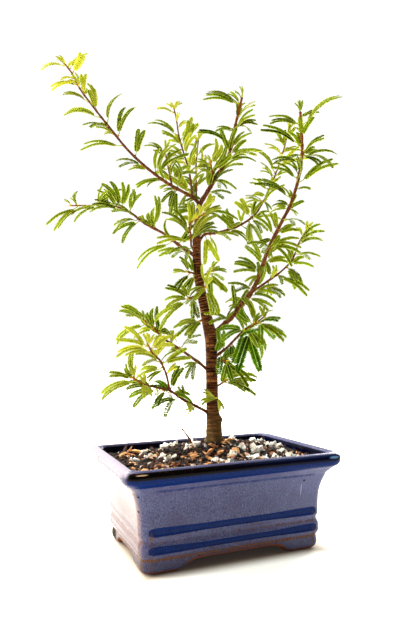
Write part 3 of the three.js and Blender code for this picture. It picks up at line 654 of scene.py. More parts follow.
def make_glaze():
    glaze = Finish("breaking blue glaze", coat_weight=0.05, coat_roughness=0.05, specular_ior_level=0.05)
    place, runs = glaze.place(), glaze.place((1, 1, 0.45))
    speck = glaze.mottle(runs, 0.55, 4, 0.75)
    grainy, blots = speck.band(0.3, 0.7), glaze.mottle(place, 12, 3, 0.6)
    ragged = (glaze.mottle(runs, 2.2, 4, 0.65) - 0.5) * 1.1
    across, left, level = glaze.noted("across"), glaze.noted("left"), glaze.noted("level")

    wall = glaze.mix(grainy, colour(44, 46, 72), colour(96, 98, 130))
    wall = glaze.mix(blots.band(0.38, 0.72) * 0.5, wall, colour(68, 61, 88))
    # Painted light: the wall is drawn lighter towards the right, where more light falls
    wall = glaze.mix(across.band(0, 72) * 0.3, wall, colour(116, 120, 158))
    # Painted light: the left side is drawn paler and pinker, as if lit by the warm light from the left
    pale = glaze.mix(grainy, colour(100, 78, 78), colour(148, 126, 126))
    wall = glaze.mix(left * 0.85, wall, pale)

    pool = glaze.noted("pool")
    thick = (pool + ragged * (pool * (1 - pool)) * 1.8).band(0.2, 0.7)
    deep = glaze.mix(speck.band(0.3, 0.8), colour(0, 18, 58), colour(2, 46, 108))
    # The inside wall is drawn nearly black navy
    deep = glaze.mix(glaze.noted("inner"), deep, colour(7, 10, 34))
    # Painted glare: on the left side the pools are drawn weaker, as if washed out by the light
    base = glaze.mix(thick * (1 - left * 0.45), wall, deep)

    # Painted glare: the dark lip is faded out on the left side too
    lip = glaze.noted("lip") * (1 - left * 0.9)
    streaks = glaze.mottle(glaze.place((0.3, 0.3, 1)), 1.8, 4, 0.7)
    upper = level.band(62.6, 63.8)
    dark = glaze.mix(across.band(-30, 60), colour(13, 8, 8), colour(8, 12, 34))
    dark = glaze.mix((streaks + upper * 0.08).band(0.62, 0.78) * 0.5, dark, colour(84, 46, 26))
    dark = glaze.mix(upper * across.band(-20, 40) * 0.5, dark, colour(40, 56, 96))
    base = glaze.mix((lip + ragged * lip * 0.8).band(0.3, 0.75), base, dark)
    # Painted shade: the outside wall grows darker towards the bottom, more so on the left side
    base = glaze.mix(glaze.noted("low") * (0.35 + left * 0.35), base, colour(48, 42, 52))
    # Painted reflection: a pale lavender sheen on the left rim's top
    painted_rim_sheen = glaze.mix(speck, colour(156, 144, 162), colour(208, 204, 226))
    base = glaze.mix(left * level.band(60.5, 63) * 0.6, base, painted_rim_sheen)

    broken = glaze.noted("broken")
    torn = (glaze.mottle(place, 4.0, 4, 0.65) - 0.5) * 1.8
    thin = (broken + (ragged * 0.4 + torn) * broken.band(0.02, 0.25)).band(0.25, 0.8)
    rust = glaze.mix(grainy, colour(56, 36, 30), colour(112, 76, 50))
    base = glaze.mix(thin * 0.85, base, rust)
    bare = glaze.noted("bare").band(0.35, 0.65)
    clay = glaze.mix(glaze.mottle(place, 0.7, 4, 0.7), colour(70, 36, 26), colour(118, 68, 46))
    base = glaze.mix(bare, base, clay)
    back_foot = glaze.noted("back_foot")
    base = glaze.mix(back_foot * 0.9, base, colour(26, 18, 14))
    for at, stretch, size, strength, tint in MARKS_AND_PAINTED_GLINTS:
        apart = glaze.vector("MULTIPLY", glaze.from_pot(place, at), stretch)
        mark = glaze.vector("LENGTH", apart, out="Value").band(size, size * 0.5)
        base = glaze.mix(mark * strength, base, colour(*tint))

    ripple = glaze.mottle(place, 5.5, 3, 0.55) + speck * 0.08
    relief = glaze.raise_by(ripple, 0.00035, 0.5)
    grain = glaze.mottle(place, 0.5, 3, 0.7)
    return glaze.feed(base_color=base, roughness=0.12 + bare * 0.65 + speck * 0.1 + back_foot * 0.8,
                      coat_weight=(1 - bare) * 0.05,
                      normal=glaze.raise_by(grain * bare, 0.00025, 0.5, over=relief))


wear(pot, make_glaze())
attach(pot, "root")
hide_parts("pot")
print("pot reaches", [round(float(number), 4) for number in points_of(pot).max(axis=0)])

# %% [markdown]
# ## The potting mix
# The pot is filled with a dark, open mix, mounded a little towards the trunk: black and brown
# crumbs, orange-tan bark chips, and white perlite, which is puffed volcanic glass. A bumpy
# plane alone would look like mud, so the mound is one closed body and the crumbs, the chips
# and the perlite are lumps of their own, sunk into it. A few of each are modelled, and the rest
# are copies, each turned and sized by a seeded draw.

# %% The mound of soil
SOIL_HALF, SOIL_CORNER, SOIL_EDGE = (67.4, 48.4), 7, 59.6
MOUND_HEIGHT, MOUND_SPREAD = 6.9, 34
# How far each ring of the mound's hidden side drops, and how much it is drawn in
MOUND_SIDE = [(-2.4, 1.0), (-7, 0.94), (-19, 0.92), (-18, 0.96)]
MOUND_BOTTOM = 13


def from_trunk(x, y):
    return math.hypot(x - TRUNK_PLACE[0], y - TRUNK_PLACE[1])


def soil_height(x, y):
    """The soil's level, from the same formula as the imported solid, in millimetres."""
    distance = from_trunk(x, y)
    mound = MOUND_HEIGHT * math.exp(-((distance / MOUND_SPREAD) ** 2))
    rough = math.sin(x * 0.41 + y * 0.17) * math.sin(y * 0.53 - x * 0.12) * 0.9
    return SOIL_EDGE + mound + rough * min(1, distance / 12)


def make_mound():
    put_down()
    bpy.ops.mesh.primitive_grid_add(x_subdivisions=120, y_subdivisions=86, size=2, location=POT_MIDDLE)
    mound = bpy.context.object
    mound.scale = (SOIL_HALF[0] * MM, SOIL_HALF[1] * MM, 1)
    settle(mound, "potting_mix")
    points = (points_of(mound) - np.array(POT_MIDDLE)) / MM
    corner = np.abs(points[:, :2]) - (np.array(SOIL_HALF) - SOIL_CORNER)
    for point, past in zip(points, corner):
        reach = math.hypot(*past)
        if min(past) > 0 and reach > SOIL_CORNER:
            point[:2] -= np.sign(point[:2]) * past * (1 - SOIL_CORNER / reach)
        crumb = noise.fractal(Vector((point[0], point[1], 0)) * 0.5, 1.0, 2.1, 3) * 0.9
        point[2] = soil_height(point[0], point[1]) + crumb - 0.6
    move_points(mound, points * MM + np.array(POT_MIDDLE))
    open_mesh(mound, "EDGE")
    bpy.ops.mesh.select_all(action="SELECT")
    bpy.ops.mesh.region_to_loop()
    for drop, spread in MOUND_SIDE:
        bpy.ops.mesh.extrude_edges_move(TRANSFORM_OT_translate={"value": (0, 0, drop * MM)})
        bpy.ops.transform.resize(value=(spread, spread, 1), center_override=POT_MIDDLE)
    bottom = POT_MIDDLE + Vector((0, 0, MOUND_BOTTOM)) * MM
    bpy.ops.transform.resize(value=(1, 1, 0), center_override=bottom)
    bpy.ops.mesh.edge_face_add()
    bpy.ops.mesh.select_all(action="SELECT")
    bpy.ops.mesh.normals_make_consistent(inside=False)
    put_down()
    return mound


mound = make_mound()
heights = points_of(mound)[:, 2] / MM
print("mound from", round(heights.min(), 1), "to", round(heights.max(), 1), "mm")


# %% Model a few crumbs, chips and pieces of perlite
def shape_lump(seed, squash, rough, fine=2):
    """A small stone-like lump about one unit across, as arrays of points and faces."""
    put_down()
    bpy.ops.mesh.primitive_ico_sphere_add(subdivisions=fine, radius=0.5)
    lump = bpy.context.object
    points = points_of(lump)
    draw = random.Random(seed)
    shift = Vector([draw.uniform(-9, 9) for _ in range(3)])
    for point in points:
        point *= 1 + rough * noise.noise(Vector(point) * 2.2 + shift)
        point *= 1 + rough * 0.55 * noise.noise(Vector(point) * 6 + shift)
    points *= squash
    faces = [tuple(face.vertices) for face in lump.data.polygons]
    bpy.data.objects.remove(lump)
    return points, faces


PERLITE = [shape_lump(seed, (1, 0.8, 0.7), 1.15) for seed in range(6)]
CHIPS = [shape_lump(20 + seed, (1, 0.55, 0.3), 0.7) for seed in range(5)]
CRUMBS = [shape_lump(40 + seed, (1, 0.85, 0.7), 0.8, fine=1) for seed in range(5)]
print("lump faces:", len(PERLITE[0][1]), len(CHIPS[0][1]), len(CRUMBS[0][1]))

# %% [markdown]
# The largest lumps of perlite and bark have places of their own, read off the photograph and
# laid on the mound. The smaller ones fall where the draw puts them, denser where the mix shows
# them, and clear of the trunk. A few slivers of bark stand at the back left.

# %% Scatter the lumps
# Across, away and size in millimetres, and for a sliver how upright it stands
BIG_PERLITE = [
    (-24, 32, 6), (-10, 43, 5), (-5, 14, 7), (2, 42, 3), (-11, 17, 4), (-52, 6, 4), (-37, 30, 4.5),
    (-41, 10, 4), (-34, 4, 5.5), (-31, -1, 4.5), (-27, -37, 4), (-6, -26, 5.5), (-4, -28, 4.5),
    (32, 31, 5.5), (11, -16, 4.5), (-2, -41, 7), (24, -2, 5.5), (32, -10, 8), (21, -29, 8),
    (53, 36, 5.5), (60, 33, 4.5), (54, 5, 6.5), (51, 7, 5.5), (33, -35, 7), (59, 4, 5.5),
    (54, -13, 4.5), (48, -31, 5), (53, -31, 4), (37, -6, 5), (27, -33, 5), (17, 42, 3.5)]
BIG_CHIPS = [
    (-7, 19, 4), (4, 2, 7), (24, 19, 7), (-58, -7, 4.5), (-59, -23, 5), (-56, -37, 5.5),
    (-50, -41, 5), (-32, -36, 6), (-49, -27, 4), (13, -24, 5), (59, 26, 5), (33, 7, 4),
    (-21, -35, 9), (-30, -20, 7), (-21, -18, 8), (-41, -32, 5), (-49, 28, 5), (15, 31, 4),
    (-8, -20, 8), (3, -12, 9), (-14, -29, 7), (6, -24, 7), (-2, -6, 8), (-44, -18, 7),
    (-36, -26, 8), (-52, -33, 7), (16, -10, 7), (20, -20, 6), (40, -22, 6), (-16, -8, 7)]
SLIVERS = [(-54, 34, 12, 1.2), (-50.5, 36, 10, 0.9), (-45, 31, 13, 0.15), (-39, 36, 9, 0.3),
           (-57, 29, 9, 0.5)]
LUMP_REACH, STREWN_REACH, TRUNK_CLEAR = (64.4, 45.4), (63, 44), 7.5
PERLITE_COUNT, CHIP_COUNT, CRUMB_COUNT = 110, 300, 2400


def scatter(name, forms, places, draw, lay=0.5):
    """Copies of a few forms, each turned, sized, given its own tone and set on the mound."""
    points, faces, tones = [], [], []
    for x, y, size, *upright in places:
        form, form_faces = forms[draw.randrange(len(forms))]
        tip = -upright[0] if upright else draw.uniform(-lay, lay)
        slim = (1, 0.5, 0.5) if upright else (1, 1, 1)
        turn = Matrix.Rotation(draw.uniform(0, math.tau), 3, "Z")
        turn = turn @ Matrix.Rotation(tip, 3, "Y") @ Matrix.Rotation(draw.uniform(-lay, lay), 3, "X")
        placed = (form * slim) @ np.array(turn).T * size
        placed = placed + (x, y, soil_height(x, y) - 0.6 + size * 0.2)
        for axis, reach in enumerate(LUMP_REACH):
            placed[:, axis] = np.clip(placed[:, axis], -reach, reach)
        start = sum(len(block) for block in points)
        faces.extend(tuple(corner + start for corner in face) for face in form_faces)
        points.append(placed)
        tones.extend([draw.random()] * len(placed))
    piece = mesh_piece(name, np.concatenate(points) * MM + np.array(POT_MIDDLE), faces)
    note_on(piece, "tone", tones)
    print(name, "lumps", len(places), "faces", len(faces))
    return piece


def strewn(count, draw, small, large, weight=lambda x, y: 1):
    """Places over the soil by a draw, kept off the trunk, thinned by a weight between 0 and 1."""
    places = []
    while len(places) < count:
        x, y = (draw.uniform(-reach, reach) for reach in STREWN_REACH)
        if from_trunk(x, y) > TRUNK_CLEAR and draw.random() < weight(x, y):
            places.append((x, y, small + (large - small) * draw.random() ** 2))
    return places


soil_draw = random.Random(11)
near_big = [(x + soil_draw.uniform(-5, 5), y + soil_draw.uniform(-5, 5), soil_draw.uniform(1.6, 4.2))
            for x, y, _ in BIG_PERLITE for _ in range(3)]
big = [(x, y, size * 1.15) for x, y, size in BIG_PERLITE]
more = strewn(PERLITE_COUNT, soil_draw, 1.3, 3.6, lambda x, y: 0.35 + 0.65 * smoothly(-20, 50, x))
perlite = scatter("perlite", PERLITE, big + near_big + more, soil_draw, 1.4)
more = strewn(CHIP_COUNT, soil_draw, 1.8, 5.8, lambda x, y: 0.4 + 0.6 * smoothly(20, -30, y))
chips = scatter("bark_chips", CHIPS, SLIVERS + BIG_CHIPS + more, soil_draw)
crumbs = scatter("soil_crumbs", CRUMBS, strewn(CRUMB_COUNT, soil_draw, 1.1, 3.6), soil_draw, 1.5)

# %% Soil, perlite and bark chip materials
def make_soil_finishes():
    peat = Finish("dark potting mix", roughness=0.95)
    place = peat.place()
    grain = peat.mottle(place, 0.9, 5, 0.7)
    base = peat.mix(grain.band(0.35, 0.7), colour(22, 15, 11), colour(74, 50, 34))
    peat.feed(base_color=base, normal=peat.raise_by(grain, 0.0008, 0.9))

    crumb = Finish("dark soil crumb", roughness=0.9)
    place, tone = crumb.place(), crumb.noted("tone")
    fleck = crumb.mottle(place, 0.6, 4, 0.7)
    base = crumb.mix(tone.band(0.35, 0.95), colour(24, 17, 13), colour(88, 58, 38))
    base = crumb.mix(fleck.band(0.55, 0.75) * 0.5, base, colour(120, 84, 54))
    crumb.feed(base_color=base, normal=crumb.raise_by(fleck, 0.0004, 0.8))

    puffed = Finish("white perlite", roughness=0.85, subsurface_weight=0.15, subsurface_scale=0.001)
    place, tone = puffed.place(), puffed.noted("tone")
    pores = puffed.cells(place, 0.8)
    base = puffed.mix(tone, colour(255, 247, 230), colour(255, 255, 248))
    stain = puffed.mottle(place, 2.4, 4, 0.65).band(0.56, 0.74)
    base = puffed.mix(stain * 0.3, base, colour(200, 166, 124))
    puffed.feed(base_color=base, normal=puffed.raise_by(pores, 0.0004, 0.8))

    chip = Finish("orange bark chip", roughness=0.8)
    place, tone = chip.place((1, 1, 2.5)), chip.noted("tone")
    fibre = chip.mottle(place, 0.8, 5, 0.7)
    base = chip.mix(tone.band(0.1, 0.6), colour(160, 82, 38), colour(255, 184, 114))
    base = chip.mix(fibre.band(0.45, 0.75) * 0.6, base, colour(255, 224, 172))
    base = chip.mix(tone.band(0.82, 0.9), base, colour(58, 34, 24))
    chip.feed(base_color=base, normal=chip.raise_by(fibre, 0.0005, 0.8))
    return peat.material, crumb.material, puffed.material, chip.material


SOIL_FINISHES = make_soil_finishes()
for piece, material in zip((mound, crumbs, perlite, chips), SOIL_FINISHES):
    wear(piece, material)
    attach(piece, "root")
    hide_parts("soil")

# %% [markdown]
# Out of sight, a square of plastic mesh lies over each drain hole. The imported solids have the
# right shape, so they stay and only get a finish: dark moulded plastic with a faint grain.

# %% Finish the drain screens
def make_screen_plastic():
    plastic = Finish("black mesh plastic", roughness=0.55)
    grain = plastic.mottle(plastic.place(), 0.4, 2)
    tint = plastic.mix(grain, colour(26, 28, 32), colour(40, 42, 46))
    return plastic.feed(base_color=tint, normal=plastic.raise_by(grain, 0.0001, 0.4))


screen_plastic = make_screen_plastic()
for name in ("drain_screen_left", "drain_screen_right"):
    wear(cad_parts[name], screen_plastic)
print("screens finished")

# %% [markdown]
# ## Trunk and stems
# A trunk is a tube that follows a line, thicker at the foot. A curve with a bevel would do, but
# then its bark couldn't be worked ring by ring. So one straight cylinder is modelled, cut into
# rings along its length, and a copy is led along each route: first the trunk, then every stem.
# Each point keeps how far along and how far round it is, for the bark's rings.

# %% One straight tube, and how it follows a route
ROUNDING = 0.36
ACROSS_START = (0.31, 0.9, 0.3)


def straight_tube(sides, rings):
    """A unit tube as arrays: how far round, how far along, and its faces."""
    put_down()
    bpy.ops.mesh.primitive_cylinder_add(vertices=sides, radius=1, depth=1, location=(0, 0, 0.5))
    tube = bpy.context.object
    settle(tube, "straight tube")
    open_mesh(tube, "EDGE")
    # One operator cuts an edge a hundred times at most, so a long tube is cut twice
    for cuts in ((rings - 1) // 3 - 1, 2) if rings > 100 else (rings - 2,):
        choose(tube, lambda edge: abs(edge.verts[0].co.z - edge.verts[1].co.z) > 1e-4, "EDGE")
        bpy.ops.mesh.subdivide(number_cuts=cuts)
    put_down()
    points = points_of(tube)
    faces = [tuple(face.vertices) for face in tube.data.polygons]
    bpy.data.objects.remove(tube)
    return points, faces


def smooth_route(rows, count):
    """A soft curve through the surveyed rows, as evenly spaced samples of all their columns."""
    rows = np.asarray(rows, float)
    ends = np.vstack([rows[0], rows, rows[-1]])
    fine = []
    for before, start, end, after in zip(ends, ends[1:], ends[2:], ends[3:]):
        for t in np.linspace(0, 1, 12, endpoint=False):
            ease = t * t * (3 - 2 * t)
            leave, arrive = t * (1 - t) ** 2, t * t * (t - 1)
            bend = leave * (end - before) + arrive * (after - start)
            fine.append(start + (end - start) * ease + ROUNDING * bend)
    fine = np.vstack([fine, rows[-1]])
    runs = np.r_[0, np.cumsum(np.linalg.norm(np.diff(fine[:, :3], axis=0), axis=1))]
    even = np.linspace(0, runs[-1], count)
    return np.column_stack([np.interp(even, runs, column) for column in fine.T]), even


def carried_frames(path):
    """Two directions square to the path at each sample, carried along it without twist."""
    along = np.gradient(path, axis=0)
    along /= np.linalg.norm(along, axis=1)[:, None]
    normal = np.array(ACROSS_START)
    normals = []
    for direction in along:
        normal = normal - direction * (normal @ direction)
        normal = normal / np.linalg.norm(normal)
        normals.append(normal)
    normals = np.array(normals)
    return normals, np.cross(along, normals)


def lead_tube(tube, rows, rings, swell=None):
    """Lead a copy of the straight tube along surveyed rows of across, away, up and radius."""
    points, faces = tube
    samples, even = smooth_route(rows, rings)
    path, radius = samples[:, :3], samples[:, 3]
    normals, crosses = carried_frames(path)
    ring = np.rint(points[:, 2] * (rings - 1)).astype(int)
    angle = np.arctan2(points[:, 1], points[:, 0])
    reach = radius[ring] * np.hypot(points[:, 0], points[:, 1])
    if swell is not None:
        reach = reach * (1 + swell(even[ring], angle))
    led = (path[ring] + normals[ring] * (reach * np.cos(angle))[:, None]
           + crosses[ring] * (reach * np.sin(angle))[:, None])
    return led, faces, even[ring], angle


def wooden_piece(name, sides, rows, rings, swell, smooth_below=None):
    """A led tube as one object, which keeps how far along and how far round each point is."""
    points, faces, along, angle = lead_tube(straight_tube(sides, rings), rows, rings, swell)
    piece = mesh_piece(name, in_frame(points), faces)
    note_on(piece, "along", along)
    note_on(piece, "around", angle)
    pick_up(piece)
    if smooth_below:
        bpy.ops.object.shade_smooth_by_angle(angle=math.radians(smooth_below))
    else:
        bpy.ops.object.shade_smooth()
    return piece, along


print("tube helper ready:", len(straight_tube(8, 10)[0]), "points in a small tube")

# %% [markdown]
# The trunk's bark is dark brown with fine raised rings of breathing pores, a few flutes near
# the foot where the roots spread, a knob where an old branch was, and slight swellings where
# branches leave. All of it is a swelling of the tube, worked out from how far along and how far
# round a point is.

# %% The trunk
TRUNK = [(1, 0, -24, 4.6), (0, 0, -2, 7.2), (-0.4, 0, 4, 6.2), (-1, 0, 16, 5.6), (-2, 0, 26, 4.8),
         (-2, 0, 54, 4.4), (-2, 0, 73, 4.4), (-4, 0, 88, 4.5), (-7, 0, 104, 3.9), (-10, 0, 119, 3.6),
         (-12, 0, 135, 3.4), (-12, 0, 154, 3.1), (-12, 1, 167, 2.6)]
TRUNK_RINGS, BURIED = 301, 24
# How far along and round a knob sits, its width and length, and how far it stands out
KNOBS = [(40.5, 4.6, 0.55, 2.2, 0.26), (33, 1.6, 0.5, 3, 0.08), (92, 3.6, 0.5, 3.4, 0.10),
         (104, 4.8, 0.7, 5, 0.16), (137, 0.5, 0.5, 3, 0.10), (150, 2.0, 0.5, 3, 0.10)]


def trunk_swell(along, angle):
    """How much the bark stands out, as a share of the radius."""
    foot = smoothly(16, -2, along - BURIED)
    out = foot * (0.10 * np.cos(3 * angle + 0.6) + 0.06 * np.cos(5 * angle + 1.9))
    for middle, turn, width, length, size in KNOBS:
        aside = np.abs((angle - turn + math.pi) % math.tau - math.pi)
        out += size * np.exp(-(aside / width) ** 2 - ((along - middle) / length) ** 2)
    for index, (s, a) in enumerate(zip(along, angle)):
        ring = noise.noise(Vector((math.cos(a) * 0.8, math.sin(a) * 0.8, s * 0.75)))
        fine = noise.noise(Vector((math.cos(a) * 3, math.sin(a) * 3, s * 2.0)))
        broad = noise.noise(Vector((math.cos(a) * 0.7, math.sin(a) * 0.7, s * 0.09)))
        out[index] += 0.05 * ring + 0.03 * fine + 0.07 * broad
    return out


trunk, _ = wooden_piece("bark_trunk", 40, TRUNK, TRUNK_RINGS, trunk_swell, smooth_below=50)
print("trunk faces", len(trunk.data.polygons))

# %% [markdown]
# The bark's colour follows its rings too. Noise read on round and along, stretched far more
# round than along, gives lines that circle the stem, tan and black on brown. Towards the foot
# the bark is greyer and greener. Thin stems are smoother and redder, so the same bark takes a
# second set of colours, and a note on each point says how young the stem is there.

# %% The bark material
def make_bark(name, thin):
    bark = Finish(name, roughness=0.85, specular_ior_level=0.1)
    around, along = bark.noted("around"), bark.noted("along")
    circle = bark.node("CombineXYZ", {}, {0: around.math("COSINE", around),
                                          1: around.math("SINE", around), 2: along})
    lines = bark.mottle(bark.vector("MULTIPLY", circle, (0.3, 0.3, 2.1)), 1.0, 2, 0.5)
    place = bark.place()
    flecks = bark.mottle(place, 0.7, 4, 0.7)
    patches = bark.mottle(place, 9, 3, 0.6)
    if thin:
        base = bark.mix(flecks.band(0.35, 0.7), colour(54, 25, 12), colour(118, 66, 34))
        base = bark.mix(lines.band(0.54, 0.68) * 0.5, base, colour(186, 126, 78))
        young = bark.noted("young")
        fresh = bark.mix(flecks.band(0.4, 0.7), colour(112, 54, 20), colour(150, 104, 42))
        base = bark.mix(young.band(0.35, 1.0), base, fresh)
    else:
        base = bark.mix(flecks.band(0.3, 0.7), colour(36, 16, 8), colour(80, 42, 21))
        base = bark.mix(patches.band(0.4, 0.72) * 0.5, base, colour(100, 56, 29))
        base = bark.mix(lines.band(0.54, 0.64) * (0.3 + patches), base, colour(172, 112, 64))
        base = bark.mix(lines.band(0.48, 0.38) * 0.9, base, colour(14, 6, 3))
        foot = along.band(58, 26)
        base = bark.mix(foot * (0.35 + patches * 0.4), base, colour(120, 100, 60))
    relief = bark.raise_by(lines, 0.0009, 0.6 if thin else 0.9)
    return bark.feed(base_color=base, normal=bark.raise_by(flecks, 0.0003, 0.7, over=relief))


trunk_bark = make_bark("ringed trunk bark", thin=False)
twig_bark = make_bark("reddish twig bark", thin=True)
wear(trunk, trunk_bark)
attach(trunk, "root")
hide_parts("trunk")

# %% [markdown]
# Beside the trunk a thin dead stem leans to the left with a tan broken tip. It is the same
# tube, led along its own short route, with small swellings at its nodes.

# %% The dead stem
DEAD_STEM = [(-19, -2, -8, 0.85), (-19, -2, 1, 0.85), (-22, -2, 6, 0.6), (-24.3, -2, 9, 0.55),
             (-25, -2, 10, 0.8), (-25.4, -2, 10.6, 0.35)]


def dead_swell(along, angle):
    return 0.18 * np.sin(along * 1.9) ** 8 + 0.06 * np.sin(3 * angle + along)


dead_stem, along = wooden_piece("dead_twig", 10, DEAD_STEM, 60, dead_swell)
note_on(dead_stem, "young", smoothly(17, 20, along) * 0.8)
wear(dead_stem, twig_bark)
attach(dead_stem, "root")
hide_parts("dead_stem")
